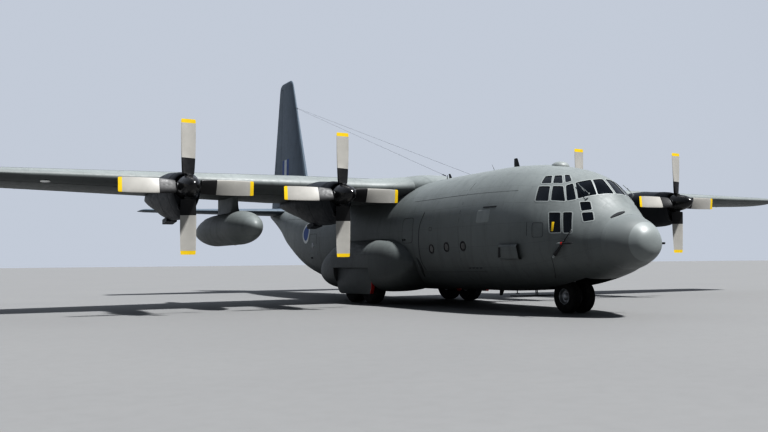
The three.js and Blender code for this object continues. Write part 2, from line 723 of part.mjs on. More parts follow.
function gearShapes() {
  const { inner, outer, front, back, top, wall, cutHeight, linerOuter, linerBottom, past } = WELL;
  const LOW = 200;
  const liner = (gap) => {
    const stations = [front - wall - gap, back + wall + gap];
    return box([inner - wall - gap, linerOuter], stations, [linerBottom, top + wall + gap]);
  };
  const well = joined(
    box([inner, outer], [front, back], [LOW, top]),
    box([inner, past], [front, back], [LOW, cutHeight]),
  );
  const outerSkin = cut(loft(FAIRING.map(fairingRing)), hullBody(8500, 17540, -FIT));
  return { fairing: mainBody(cut(joined(outerSkin, liner(0)), well)), hullRoom: liner(FIT) };
}

// Wheels
function tyreProfile({ radius, half, rim }) {
  return [
    [-half * 0.7, rim],
    [-half, rim + (radius - rim) * 0.35],
    [-half * 0.9, rim + (radius - rim) * 0.78],
    [-half * 0.5, radius],
    [half * 0.5, radius],
    [half * 0.9, rim + (radius - rim) * 0.78],
    [half, rim + (radius - rim) * 0.35],
    [half * 0.7, rim],
    [-half * 0.7, rim],
  ];
}

const WHEEL_SIDES = 16;

function mainTyre(station) {
  return turned(tyreProfile(MAIN_TYRE), "x", [MAIN_TRACK_HALF, station, MAIN_TYRE.radius], WHEEL_SIDES);
}

function mainWheel(station) {
  const rim = MAIN_TYRE.rim - FIT / Math.cos(Math.PI / WHEEL_SIDES);
  const half = MAIN_TYRE.half;
  const bore = boreRadius(MAIN_AXLE_RADIUS);
  const profile = [
    [-half * 0.6, bore],
    [-half * 0.6, rim * 0.5],
    [-half * 0.68, rim],
    [half * 0.68, rim],
    [half * 0.3, rim * 0.84],
    [half * 0.2, rim * 0.45],
    [half * 0.6, rim * 0.38],
    [half * 0.6, bore],
    [-half * 0.6, bore],
  ];
  return turned(profile, "x", [MAIN_TRACK_HALF, station, MAIN_TYRE.radius], WHEEL_SIDES);
}

function mainLegs() {
  const height = MAIN_TYRE.radius;
  const { x, radius, below, beamHalf, beamPast, beamHeights } = STRUT;
  const axleEnd = MAIN_TRACK_HALF + MAIN_TYRE.half * 0.66;
  const posts = MAIN_AXLES.flatMap((station) => [
    bar([x, station, height - below], [x, station, WELL.top - FIT], radius),
    bar([x, station, height], [axleEnd, station, height], MAIN_AXLE_RADIUS),
  ]);
  const beamStations = [MAIN_AXLES[0] - beamPast, MAIN_AXLES[1] + beamPast];
  return joined(...posts, box([x - beamHalf, x + beamHalf], beamStations, beamHeights));
}

function mainGearDoor() {
  const { thickness, frontLow, frontHigh, back, bottom, step, top } = MAIN_DOOR;
  const outer = WELL.outer - FIT;
  const plate = [
    [WELL.front + frontLow, bottom[0]],
    [WELL.back - back, bottom[1]],
    [WELL.back - back / 2, top],
    [WELL.front + frontHigh, top],
    [WELL.front + frontHigh, step],
  ];
  return sideOutline(plate, outer - thickness, outer);
}

function noseWheels() {
  const { half, rim, x, radius } = NOSE_TYRE;
  const [wide, narrow, step] = [half * 0.62, half * 0.3, rim * 0.55];
  const hubProfile = [
    [-wide, 0],
    [-wide, step],
    [-narrow, rim],
    [narrow, rim],
    [wide, step],
    [wide, 0],
  ];
  const wheel = (side) => {
    const centre = [side * x, NOSE_AXLE, radius];
    const tyre = turned(tyreProfile({ radius, half, rim: rim - NOSE_TYRE.rimOverlap }), "x", centre, WHEEL_SIDES);
    return joined(tyre, turned(hubProfile, "x", centre, WHEEL_SIDES));
  };
  const axle = bar([-x, NOSE_AXLE, radius], [x, NOSE_AXLE, radius], NOSE_FORK.axleRadius);
  return joined(wheel(1), wheel(-1), axle);
}

function noseFork() {
  const height = NOSE_TYRE.radius;
  const { pistonRadius, bossHalf, bossRadius, axleRadius, lugHalf, lugStations, lugHeights, linkHeights } = NOSE_FORK;
  const across = (half, radius) => bar([-half, NOSE_AXLE, height], [half, NOSE_AXLE, height], radius);
  const lug = (side, heights) => {
    const stations = lugStations.map((along) => NOSE_AXLE + side * along).sort((a, b) => a - b);
    return box([-lugHalf, lugHalf], stations, heights.map((above) => height + above));
  };
  const top = NOSE_LEG.boreTop - FIT;
  const piston = bar([0, NOSE_AXLE, height], [0, NOSE_AXLE, top], pistonRadius, PISTON_SIDES);
  const solid = joined(piston, across(bossHalf, bossRadius), lug(1, linkHeights), lug(-1, lugHeights));
  return cut(solid, across(bossHalf + 10, boreRadius(axleRadius)));
}

function noseLeg() {
  const { radius, bottom, boreTop, trunnionHeight, trunnionRadius, brace, braceRadius } = NOSE_LEG;
  const upright = (from, to, size, sides) => bar([0, NOSE_AXLE, from], [0, NOSE_AXLE, to], size, sides);
  const bore = upright(bottom - 10, boreTop, boreRadius(NOSE_FORK.pistonRadius, PISTON_SIDES), PISTON_SIDES);
  const side = NOSE_WELL.half - FIT;
  const trunnion = bar([-side, NOSE_AXLE, trunnionHeight], [side, NOSE_AXLE, trunnionHeight], trunnionRadius);
  const strut = bar([0, NOSE_AXLE - brace[0][0], brace[0][1]], [0, NOSE_WELL.front + brace[1][0], brace[1][1]], braceRadius);
  return cut(joined(upright(bottom, NOSE_WELL.top - FIT, radius), trunnion, strut), bore);
}

function noseDoor() {
  const { half, front, back, drop, thickness, linkHalf, linkLength, linkInset, linkHeights } = NOSE_DOOR;
  const [from, to] = [front - 800, back + 1200];
  const skin = cut(hullBody(from, to, 0, -drop), hullBody(from - 100, to + 100, 0, -drop + thickness));
  const panel = skin.intersect(box([-half, half], [front, back], [0, linkHeights[1]]));
  const links = [-1, 1].flatMap((side) =>
    [front + linkInset, back - linkInset].map((station) => {
      const x = side * (half - linkInset / 2);
      return box([x - linkHalf, x + linkHalf], [station - linkLength, station + linkLength], linkHeights);
    }),
  );
  return cut(joined(panel, ...links), hullBody(from - 100, to + 100, -FIT));
}

// Engine group on the port side
function nacelleRing([station, halfWidth, top, bottom], height, x, inset = 0) {
  const ring = [];
  const POINTS = 16;
  const [middle, reach] = [height + (top + bottom) / 2, (top - bottom) / 2 - inset];
  for (let i = 0; i < POINTS; i++) {
    const angle = (2 * Math.PI * i) / POINTS;
    const [c, s] = [Math.cos(angle), Math.sin(angle)];
    const across = (halfWidth - inset) * Math.sign(c) * Math.abs(c) ** 0.85;
    ring.push(new THREE.Vector3(x + across, station, middle + reach * Math.sign(s) * Math.abs(s) ** 0.85));
  }
  return ring;
}

function nacelleBody({ x, height }, inset = 0) {
  const last = NACELLE.length - 1;
  const rows = NACELLE.filter((_, i) => !inset || i % 2 === 0 || i === last).map((row) => [...row]);
  if (inset) {
    rows[0][0] -= PAST_NACELLE;
    rows.at(-1)[0] += PAST_NACELLE;
  }
  return loft(rows.map((row) => nacelleRing(row, height, x, inset)));
}

function engineBlock(engine) {
  const { half, top, bottom, front, middle, back, rearTop } = ENGINE_BLOCK;
  const { x, height } = engine;
  const block = (wide, [y0, y1], [z0, z1]) => box([x - wide, x + wide], [y0, y1], [height + z0, height + z1]);
  const power = joined(block(half, [front, middle], [bottom, top]), block(half, [middle - 1, back], [bottom, rearTop]));
  const gearbox = block(GEARBOX.half, [GEARBOX.front, front + 1], [GEARBOX.bottom, GEARBOX.top]);
  const boreWidth = boreRadius(SHAFT_RADIUS, SHAFT_SIDES);
  const boreEnd = GEARBOX.front + GEARBOX.bore;
  const bore = bar([x, GEARBOX.front - 10, height], [x, boreEnd, height], boreWidth, SHAFT_SIDES);
  return cut(joined(power, gearbox), bore).intersect(nacelleBody(engine, NACELLE_WALL + FIT));
}

const BLADE_SIDES = 6;
// radius from the hub's centre, chord, thickness, pitch in degrees from the propeller's plane
const BLADE = [
  [300, 200, 170, 52],
  [640, 340, 130, 42],
  [1000, 440, 70, 29],
  [1500, 430, 46, 19],
  [PROP_RADIUS, 390, 24, 14],
];

function bladeSolid() {
  const rings = BLADE.map(([radius, chord, thickness, pitch]) => {
    const turn = THREE.MathUtils.degToRad(pitch);
    const ring = [];
    for (let i = 0; i < BLADE_SIDES; i++) {
      const angle = (2 * Math.PI * i) / BLADE_SIDES;
      const [u, v] = [(chord / 2) * Math.cos(angle), (thickness / 2) * Math.sin(angle)];
      const [c, s] = [Math.cos(turn), Math.sin(turn)];
      ring.push(new THREE.Vector3(u * c - v * s, u * s + v * c, radius));
    }
    return ring;
  });
  return loft(rings);
}

function propeller() {
  const last = SPINNER.at(-1);
  const tip = SPINNER[0][0] - SPINNER[0][1];
  const profile = [[tip, 0], ...SPINNER, [last[0], 0]].map(([s, r]) => [s - PROP_STATION, r]);
  const spinner = turned(profile, "y", [0, 0, 0], SHAFT_SIDES);
  const shaftStart = last[0] - PROP_STATION - SHAFT_RADIUS;
  const shaftEnd = GEARBOX.front + GEARBOX.bore - SHAFT_RADIUS / 3 - PROP_STATION;
  const shaft = bar([0, shaftStart, 0], [0, shaftEnd, 0], SHAFT_RADIUS, SHAFT_SIDES);
  const blade = bladeSolid();
  const blades = [0, 1, 2, 3].map((i) => moved(blade, new THREE.Matrix4().makeRotationY((i * Math.PI) / 2)));
  return joined(spinner, shaft, ...blades);
}

function tankProfile() {
  const { radius, front, back, noseLength, tailLength, tailPower } = TANK;
  const STEPS = 5;
  const profile = [[front, 0]];
  for (let i = 1; i <= STEPS; i++) {
    const share = i / STEPS;
    profile.push([front + noseLength * share, radius * Math.sqrt(1 - (1 - share) ** 2)]);
  }
  for (let i = 0; i < STEPS; i++) {
    const share = i / STEPS;
    profile.push([back - tailLength * (1 - share), radius * (1 - share ** tailPower)]);
  }
  return [...profile, [back, 0]];
}

function tankSolid() {
  const { x, height } = TANK;
  const { half, front, back, edgeShare, tailShare, shoulder, heights } = PYLON;
  // share of the length, share of the half width
  const outline = [
    [0, -edgeShare],
    [shoulder, -1],
    [1, -tailShare],
    [1, tailShare],
    [shoulder, 1],
    [0, edgeShare],
  ];
  const ring = (rise) =>
    outline.map(([f, side]) => new THREE.Vector3(x + side * half, front + f * (back - front), height + rise));
  const pylon = loft(heights.map(ring));
  const [wide, above] = [4 * half, [WING.quarterHeight + 50, WING.quarterHeight + 1750]];
  const aboveWing = box([x - wide, x + wide], [TANK.front, TANK.back], above);
  return mainBody(cut(joined(turned(tankProfile(), "y", [x, 0, height], 20), pylon), wingRoom(), aboveWing));
}

// Tail pieces
function dorsalFin(grow) {
  const base = FIN.root[0] - grow;
  const rings = DORSAL.map(([at, top, half], row) => {
    const station = row ? at : at - grow;
    const middle = (FIN.root[0] + top) / 2;
    const [low, mid, tip] = [half * 1.6 + 2 * grow, half + 2 * grow, DORSAL[0][2] + 2 * grow];
    return [
      new THREE.Vector3(-low, station, base),
      new THREE.Vector3(low, station, base),
      new THREE.Vector3(mid, station, middle),
      new THREE.Vector3(tip, station, top + grow),
      new THREE.Vector3(-tip, station, top + grow),
      new THREE.Vector3(-mid, station, middle),
    ];
  });
  return loft(rings);
}

// Assembly
const plane = new THREE.Group();
const fullSize = new THREE.Group();
fullSize.scale.setScalar(MODEL_SCALE);
fullSize.position.y = -ORIGIN_STATION * MODEL_SCALE;
plane.add(fullSize);

function add(name, solid, colour, place) {
  const mesh = new THREE.Mesh(toGeometry(solid), new THREE.MeshStandardMaterial(COLOURS[colour]));
  mesh.name = name;
  if (place) mesh.position.set(...place);
  fullSize.add(mesh);
}

function addPair(name, solid, colour) {
  add(name + "_left", solid, colour);
  const mesh = new THREE.Mesh(toGeometry(solid), new THREE.MeshStandardMaterial(COLOURS[colour]));
  mesh.name = name + "_right";
  mesh.scale.x = -1;
  fullSize.add(mesh);
}

function addFuselage() {
  const crew = crewDoorShapes();
  const ramp = rampShapes();
  const rear = rearDoorShapes();
  const gear = gearShapes();
  const wing = wingRoom();
  const wingBoth = joined(wing, mirrored(wing));
  const half = FIT / 2;

  add("nose_radome", hullBody(0, RADOME_JOINT - half), "skin");

  const { half: wellHalf, front, back, top, wall } = NOSE_WELL;
  const cockpitOuter = hullBody(RADOME_JOINT + half, COCKPIT_JOINT - half);
  const cockpitInner = hullBody(RADOME_JOINT + WALL, COCKPIT_JOINT + PAST_JOINT, WALL);
  const wellLiner = box([-wellHalf - wall, wellHalf + wall], [front - wall, back + wall], [BELOW_HULL, top + wall]);
  const wellRoom = box([-wellHalf, wellHalf], [front, back], [BELOW_HULL, top]);
  const shell = joined(cut(cockpitOuter, cockpitInner), wellLiner.intersect(cockpitOuter));
  add("cockpit_shell", mainBody(cut(shell, wellRoom, crew.room, ...windowCutters())), "skin");
  add("crew_door", mainBody(crew.door), "skin");

  const glassOuter = hullBody(RADOME_JOINT + WALL, COCKPIT_JOINT, WALL + FIT);
  const glassInner = hullBody(RADOME_JOINT, COCKPIT_JOINT + PAST_JOINT, WALL + FIT + GLAZING_THICKNESS);
  const band = box([-WIDE, WIDE], ...GLAZING_BAND);
  add("cockpit_glazing", mainBody(cut(glassOuter, glassInner).intersect(band)), "glass");

  const inside = hullBody(FLIGHT_DECK_STATIONS[0], FLIGHT_DECK_STATIONS[1], WALL + FIT);
  const deckLow = FLIGHT_DECK_TOP - FLIGHT_DECK_THICKNESS;
  const deck = box([-WIDE, WIDE], FLIGHT_DECK_STATIONS, [deckLow, FLIGHT_DECK_TOP]);
  const hatchStations = [CREW_DOOR.front - HATCH.ahead, CREW_DOOR.back + HATCH.behind];
  const hatch = box([HATCH.inner, WIDE], hatchStations, [deckLow - 10, FLIGHT_DECK_TOP + 10]);
  add("flight_deck_floor", cut(deck.intersect(inside), hatch), "interior");

  addFlightDeckFittings();

  const holdInner = hullBody(COCKPIT_JOINT - PAST_JOINT, HOLD_END + PAST_JOINT, WALL);
  const hold = cut(hullBody(COCKPIT_JOINT + half, HOLD_END - half), holdInner);
  add("cargo_hold_shell", mainBody(cut(hold, wingBoth, gear.hullRoom, mirrored(gear.hullRoom), ramp.room)), "skin");
  const floorSlab = box(
    [-HOLD_FLOOR_HALF, HOLD_FLOOR_HALF],
    [COCKPIT_JOINT + FLOOR_END_GAP, HOLD_END - FLOOR_END_GAP],
    [HOLD_FLOOR_UNDERSIDE, HOLD_FLOOR_TOP],
  );
  add("cargo_floor", floorSlab.intersect(hullBody(COCKPIT_JOINT, HOLD_END, WALL + FIT)), "interior");

  const rearInner = hullBody(HOLD_END - PAST_JOINT, REAR_JOINT - REAR_WALL, REAR_WALL);
  const rearShell = cut(hullBody(HOLD_END + half, REAR_JOINT - half), rearInner);
  const dorsalRoom = finBody(SEAT_GROWTH);
  add("rear_fuselage_shell", mainBody(cut(rearShell, ramp.room, rear.room, rear.bore, dorsalRoom)), "skin");
  add("cargo_ramp", ramp.ramp, "skin");
  add("rear_cargo_door", rear.door, "skin");

  const coneHollow = hullBody(REAR_JOINT - PAST_JOINT, TAIL_CONE_SOLID_FROM, TAIL_CONE_WALL);
  const cone = cut(hullBody(REAR_JOINT + half, TAIL_CONE_END), coneHollow);
  const tail = tailplaneRoom();
  const rudder = control(finAt, RUDDER, RUDDER_FRACTION);
  const rudderSweep = box([-400, 400], [26500, LENGTH + 700], [RUDDER[0] - RUNNING_GAP, RUDDER[0] + 480]);
  add("tail_cone", mainBody(cut(cone, tail, mirrored(tail), dorsalRoom, rudder.bore, rudderSweep)), "skin");
  addPair("gear_fairing", gear.fairing, "skin");
}

function addFlightDeckFittings() {
  const { halfWidth, front, back, top, shelfBack, shelf } = PANEL;
  const floor = FLIGHT_DECK_TOP + FIT;
  const panel = sideOutline(
    [
      [front + 120, floor],
      [back, floor],
      [back - 60, top - shelf],
      [shelfBack, top - shelf],
      [shelfBack, top],
      [front, top],
    ],
    -halfWidth,
    halfWidth,
  );
  add("instrument_panel", panel.intersect(hullBody(1100, 4000, WALL + GLAZING_THICKNESS + 4 * FIT)), "interior");
  const seatSide = [
    [SEAT.front + 60, floor],
    [SEAT.cushionBack, floor],
    [SEAT.back, SEAT.backTop],
    [SEAT.back - SEAT.pad, SEAT.backTop],
    [SEAT.cushionBack - SEAT.pad, SEAT.seatTop],
    [SEAT.front, SEAT.seatTop],
  ];
  const seat = sideOutline(seatSide, SEAT.x - SEAT.half, SEAT.x + SEAT.half);
  add("pilot_seat", seat, "seat");
  add("copilot_seat", mirrored(seat), "seat");
}

function finBody(grow = 0) {
  const spans = [FIN.root[0] - grow, 7000, FIN_TOP - 130, FIN_TOP];
  const rings = spans.map((span) => sectionRing(finAt(span), grow));
  const last = rings.length - 1;
  const tipCentre = finAt(FIN_TOP).leading + finAt(FIN_TOP).chord / 2;
  rings[last] = rings[last].map((p) => new THREE.Vector3(p.x * 0.45, tipCentre + (p.y - tipCentre) * 0.93, p.z));
  return joined(loft(rings), dorsalFin(grow));
}

function addWings() {
  const inner = flap(INNER_FLAP, FLAP_AXIS_DROP.inner);
  const outer = flap(OUTER_FLAP, FLAP_AXIS_DROP.outer);
  const aileron = control(wingAt, AILERON, FLAP_FRACTION);
  const half = FIT / 2;
  const side = cut(surfaceBody(wingAt, [0, WING.joint - half]), inner.room, ...inner.tracks);
  add("wing_centre", joined(side, mirrored(side)), "skin");
  const tip = [HALF_SPAN - WING_TIP_CAP, HALF_SPAN];
  const rings = [WING.joint + half, ...tip].map((span) => sectionRing(wingAt(span)));
  const tipMiddle = wingAt(HALF_SPAN).height;
  rings[2] = rings[2].map((p) => new THREE.Vector3(p.x, p.y, tipMiddle + (p.z - tipMiddle) * 0.35));
  addPair("wing", cut(loft(rings), outer.room, ...outer.tracks, aileron.room, aileron.bore), "skin");
  addPair("flap_inner", inner.body, "skin");
  addPair("flap_outer", outer.body, "skin");
  addPair("aileron", aileron.body, "skin");
}

function addTail() {
  const rudder = control(finAt, RUDDER, RUDDER_FRACTION);
  const finHollow = hollowBody(finAt, [FIN.root[0] - 10, FIN_HOLLOW_TOP]);
  add("fin", mainBody(cut(finBody(), rudder.room, rudder.bore, finHollow)), "tail");
  add("rudder", rudder.body, "tail");
  const elevator = control(tailplaneAt, ELEVATOR, ELEVATOR_FRACTION);
  const hollow = hollowBody(tailplaneAt, [0, TAILPLANE_HOLLOW_END]);
  const side = cut(surfaceBody(tailplaneAt, [0, TAILPLANE.tip[0]]), elevator.room, elevator.bore, hollow);
  add("tailplane", cut(joined(side, mirrored(side)), finBody(SEAT_GROWTH)), "tail");
  addPair("elevator", elevator.body, "tail");
}

function addEngines() {
  const wing = wingRoom();
  const prop = propeller();
  ENGINES.forEach((engine) => {
    const shell = cut(nacelleBody(engine), nacelleBody(engine, NACELLE_WALL), wing);
    addPair("nacelle_" + engine.name, mainBody(shell), "dark");
    addPair("engine_" + engine.name, mainBody(cut(engineBlock(engine), wing)), "steel");
    [1, -1].forEach((side) => {
      const name = "propeller_" + engine.name + (side > 0 ? "_left" : "_right");
      add(name, prop, "blade", [side * engine.x, PROP_STATION, engine.height]);
    });
  });
  addPair("underwing_tank", tankSolid(), "skin");
}

function addLandingGear() {
  addPair("main_gear_legs", mainLegs(), "steel");
  addPair("main_gear_door", mainGearDoor(), "skin");
  ["front", "rear"].forEach((place, i) => {
    addPair("main_tyre_" + place, mainTyre(MAIN_AXLES[i]), "tyre");
    addPair("main_wheel_" + place, mainWheel(MAIN_AXLES[i]), "wheel");
  });
  add("nose_gear_leg", noseLeg(), "steel");
  add("nose_gear_fork", noseFork(), "steel");
  add("nose_wheels", noseWheels(), "tyre");
  add("nose_gear_door", noseDoor(), "skin");
}

addFuselage();
addWings();
addTail();
addEngines();
addLandingGear();

export default plane;
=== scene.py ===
"""Looks of a military transport plane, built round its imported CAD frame.

The model is half the size of the real aircraft. Sizes in this script are the real aircraft's, in metres,
and the helpers at(), shift() and scaled() turn them into the model's. X is to port, Z is up, and a station
is counted aft
of the nose.
"""

import json
import math
from bisect import bisect_right
from collections import namedtuple
from contextlib import contextmanager

import bpy
from mathutils import Matrix, Vector

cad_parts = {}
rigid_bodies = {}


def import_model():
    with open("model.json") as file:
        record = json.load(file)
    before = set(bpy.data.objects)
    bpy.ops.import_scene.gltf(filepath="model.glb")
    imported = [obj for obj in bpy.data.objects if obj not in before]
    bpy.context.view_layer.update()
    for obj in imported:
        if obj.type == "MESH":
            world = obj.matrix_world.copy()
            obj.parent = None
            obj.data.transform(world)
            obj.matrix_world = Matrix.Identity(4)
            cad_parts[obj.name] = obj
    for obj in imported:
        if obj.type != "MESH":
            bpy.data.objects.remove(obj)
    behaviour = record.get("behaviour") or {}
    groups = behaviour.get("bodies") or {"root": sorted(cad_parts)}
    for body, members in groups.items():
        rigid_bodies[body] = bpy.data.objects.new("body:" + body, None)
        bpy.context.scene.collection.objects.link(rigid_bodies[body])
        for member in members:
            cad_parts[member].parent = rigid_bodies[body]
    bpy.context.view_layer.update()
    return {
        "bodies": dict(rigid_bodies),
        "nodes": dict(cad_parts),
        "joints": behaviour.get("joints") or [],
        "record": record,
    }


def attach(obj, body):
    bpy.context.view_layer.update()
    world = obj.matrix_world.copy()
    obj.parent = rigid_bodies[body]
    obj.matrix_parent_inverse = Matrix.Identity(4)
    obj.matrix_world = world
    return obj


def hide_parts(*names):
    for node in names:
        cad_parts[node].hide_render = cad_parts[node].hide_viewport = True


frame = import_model()

# Driving sizes
SCALE = 0.5
LENGTH = 29.79
HALF_SPAN = 20.205
RUNNING_GAP = 0.014
SKIN = 0.05
SIDES = ((1, "left"), (-1, "right"))


def scaled(size):
    """A size of the real aircraft in the model's metres."""
    return size * SCALE


def at(x, station, height):
    """A point of the real aircraft in the model's metres."""
    return Vector((x * SCALE, (station - LENGTH / 2) * SCALE, height * SCALE))


def shift(x, y, z):
    """A step of the real aircraft in the model's metres."""
    return Vector((x, y, z)) * SCALE


# Selecting, editing and finishing pieces
def only(*pieces):
    """Makes these pieces the only selected ones, the first of them active."""
    bpy.ops.object.select_all(action="DESELECT")
    for piece in pieces:
        piece.select_set(True)
    bpy.context.view_layer.objects.active = pieces[0]


def picked(mesh, test, part):
    """Selects a mesh's faces or edges whose middle and direction pass the test."""
    for group in (mesh.vertices, mesh.edges, mesh.polygons):
        group.foreach_set("select", [False] * len(group))
    if part == "FACE":
        for face in mesh.polygons:
            face.select = test(face.center, face.normal)
    else:
        for edge in mesh.edges:
            a, b = (mesh.vertices[i].co for i in edge.vertices)
            edge.select = test((a + b) / 2, (b - a).normalized())


@contextmanager
def editing(piece, test=None, part="FACE"):
    """Edit mode on one piece, with everything selected or only what passes the test."""
    only(piece)
    bpy.context.tool_settings.mesh_select_mode = (False, part == "EDGE", part == "FACE")
    if test:
        picked(piece.data, test, part)
    bpy.ops.object.mode_set(mode="EDIT")
    if not test:
        bpy.ops.mesh.select_all(action="SELECT")
    yield
    bpy.ops.object.mode_set(mode="OBJECT")


def modify(piece, kind, **settings):
    """Adds a modifier and applies it."""
    only(piece)
    modifier = piece.modifiers.new(kind.title(), kind)
    for name, value in settings.items():
        setattr(modifier, name, value)
    bpy.ops.object.modifier_apply(modifier=modifier.name)
    return piece


def fresh():
    """The primitive that was added last, with its place in its mesh."""
    piece = bpy.context.object
    only(piece)
    bpy.ops.object.transform_apply(location=True, rotation=True, scale=True)
    return piece


def copied(piece):
    """A copy with its own mesh."""
    only(piece)
    bpy.ops.object.duplicate()
    return fresh()


def mirrored(piece):
    """A copy on the other side of the aircraft."""
    made = copied(piece)
    with editing(made):
        bpy.ops.transform.resize(value=(-1, 1, 1), center_override=(0, 0, 0))
        bpy.ops.mesh.flip_normals()
    return made


def moved(piece, step):
    """Moves a piece's mesh."""
    with editing(piece):
        bpy.ops.transform.translate(value=step)
    return piece


def quarter_turns(piece, count, centre):
    """Turns a piece about the Y axis by a number of quarters, then moves it from the origin to its centre."""
    piece.data.transform(Matrix.Rotation(math.pi / 2 * count, 4, "Y"))
    return moved(piece, centre)


def joined(pieces):
    """Several pieces as one."""
    only(*pieces)
    if len(pieces) > 1:
        bpy.ops.object.join()
    return pieces[0]


def cut(piece, *cutters, operation="DIFFERENCE", crossing=False):
    """Cuts a piece by closed ones. Parts of a cutter may be crossing each other."""
    for cutter in cutters:
        modify(piece, "BOOLEAN", object=cutter, operation=operation, solver="EXACT", use_self=crossing)
        bpy.data.objects.remove(cutter)
    return piece


def kept(piece, outline, crossing=False):
    """What a piece shares with a closed outline."""
    return cut(piece, outline, operation="INTERSECT", crossing=crossing)


def pressed(piece, test, margin, way):
    """Insets the faces that pass a test and moves them."""
    with editing(piece, test):
        bpy.ops.mesh.inset(thickness=scaled(margin))
        bpy.ops.transform.translate(value=shift(*way))
    return piece


def smoothed(piece, degrees=32):
    """Shades a piece smoothly over edges flatter than an angle."""
    only(piece)
    bpy.ops.object.shade_smooth_by_angle(angle=math.radians(degrees))
    return piece


def rounded(piece, width, degrees=40):
    """Rounds the edges of a piece that are sharper than an angle."""
    modify(piece, "BEVEL", width=scaled(width), segments=2, limit_method="ANGLE", angle_limit=math.radians(degrees),
           use_clamp_overlap=True)
    return smoothed(piece)


def coated(piece, *finishes):
    """Gives a piece its materials, by their names."""
    piece.data.materials.clear()
    for finish in finishes:
        piece.data.materials.append(MADE[finish])
    return piece


def settle(name, piece, finish, body="airframe", stands_for=()):
    """Gives a piece its name, its finish, the body it moves with and the CAD nodes that it stands for."""
    piece.name = name
    piece.data.name = name
    if finish:
        coated(piece, finish)
    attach(piece, body)
    if stands_for:
        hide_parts(*stands_for)


def on_both_sides(name, piece, finish, body="airframe", node=""):
    """Settles a piece that was made for the port side, and its copy on the starboard side."""
    other = smoothed(mirrored(piece), 30)
    for made, (_, word) in zip((piece, other), SIDES):
        nodes = [node.format(word)] if node else ()
        settle(name.format(word), made, finish, body.format(word), nodes)


# Ways to make a shape
def lofted(rings, caps=True):
    """A body through rings of points with the same count: a grid wrapped round them, its ends filled."""
    around = len(rings[0])
    along = len(rings) - 1
    bpy.ops.mesh.primitive_grid_add(x_subdivisions=around, y_subdivisions=along, size=1)
    piece = fresh()
    for corner in piece.data.vertices:
        place = round((corner.co.x + 0.5) * around) % around
        row = round((corner.co.y + 0.5) * along)
        corner.co = rings[row][place]
    with editing(piece):
        bpy.ops.mesh.remove_doubles(threshold=0.00002)
        if caps:
            bpy.ops.mesh.fill_holes(sides=0)
            bpy.ops.mesh.select_all(action="SELECT")
        bpy.ops.mesh.normals_make_consistent(inside=False)
    return piece


def block(a, b):
    """A box between two opposite corners, each (x, station, height)."""
    low = at(*(min(pair) for pair in zip(a, b)))
    high = at(*(max(pair) for pair in zip(a, b)))
    bpy.ops.mesh.primitive_cube_add(size=1, location=(low + high) / 2, scale=high - low)
    return fresh()


def bar(a, b, radius, sides=24, taper=1.0):
    """A round bar between two points, which may taper."""
    along = b - a
    bpy.ops.mesh.primitive_cone_add(
        vertices=sides, radius1=scaled(radius), radius2=scaled(radius * taper), depth=along.length,
        location=(a + b) / 2, rotation=along.to_track_quat("Z", "Y").to_euler(),
    )
    return fresh()


def post(x, station, low, high, radius, sides=40):
    """An upright bar."""
    return bar(at(x, station, low), at(x, station, high), radius, sides)


def crossbar(x, other_x, station, height, radius, sides=24):
    """A bar across the aircraft."""
    return bar(at(x, station, height), at(other_x, station, height), radius, sides)


def around(centre, axis, along, radius, turn):
    """A point at a turn about a line through a centre along X, Y or Z."""
    c, s = radius * math.cos(turn), radius * math.sin(turn)
    return centre + shift(*{"x": (along, c, s), "y": (s, along, c), "z": (c, s, along)}[axis])


def circle(count, start=0.0):
    """Evenly spaced angles of a whole turn."""
    return [2 * math.pi * (i + start) / count for i in range(count)]


def turned(profile, axis, centre, sides=48):
    """A turned body from (distance along, radius) points. A profile that ends where it starts makes a ring."""
    rings = [[around(centre, axis, along, radius, turn) for turn in circle(sides)] for along, radius in profile]
    return lofted(rings, caps=False)


def curved(profile, rounds=2):
    """A profile with its corners cut again and again, which leaves its two ends where they are."""
    for _ in range(rounds):
        made = [profile[0]]
        for a, b in zip(profile, profile[1:]):
            for share in (0.25, 0.75):
                made.append(tuple(p + (q - p) * share for p, q in zip(a, b)))
        profile = [*made, profile[-1]]
    return profile


def dome(start, length, radius, steps):
    """The profile of a rounded nose after its tip."""
    shares = [1 - math.cos(math.pi / 2 * i / steps) for i in range(1, steps + 1)]
    return [(start + length * share, radius * math.sqrt(1 - (1 - share) ** 2)) for share in shares]


def span_of(start, end, count):
    """Evenly spaced values from start to end."""
    return [start + (end - start) * i / count for i in range(count + 1)]


def slopes_of(places, values):
    """The slopes of a smooth curve through values that never overshoots them."""
    steps = [b - a for a, b in zip(places, places[1:])]
    rates = [(b - a) / step for a, b, step in zip(values, values[1:], steps)]
    inner = []
    for left, right, a, b in zip(rates, rates[1:], steps, steps[1:]):
        near, far = 2 * b + a, b + 2 * a
        inner.append((near + far) / (near / left + far / right) if left * right > 0 else 0)
    return [rates[0], *inner, rates[-1]]


def curve_through(rows):
    """A function that gives all the values of a row at any first value, on smooth curves through the rows."""
    places = [row[0] for row in rows]
    columns = list(zip(*rows))[1:]
    slopes = [slopes_of(places, column) for column in columns]

    def values(place):
        i = max(0, min(len(places) - 2, bisect_right(places, place) - 1))
        step = places[i + 1] - places[i]
        t = max(0, min(1, (place - places[i]) / step))
        found = []
        for column, slope in zip(columns, slopes):
            start = column[i] * (1 + 2 * t) * (1 - t) ** 2 + slope[i] * step * t * (1 - t) ** 2
            end = column[i + 1] * t**2 * (3 - 2 * t) - slope[i + 1] * step * t**2 * (1 - t)
            found.append(start + end)
        return found

    return values


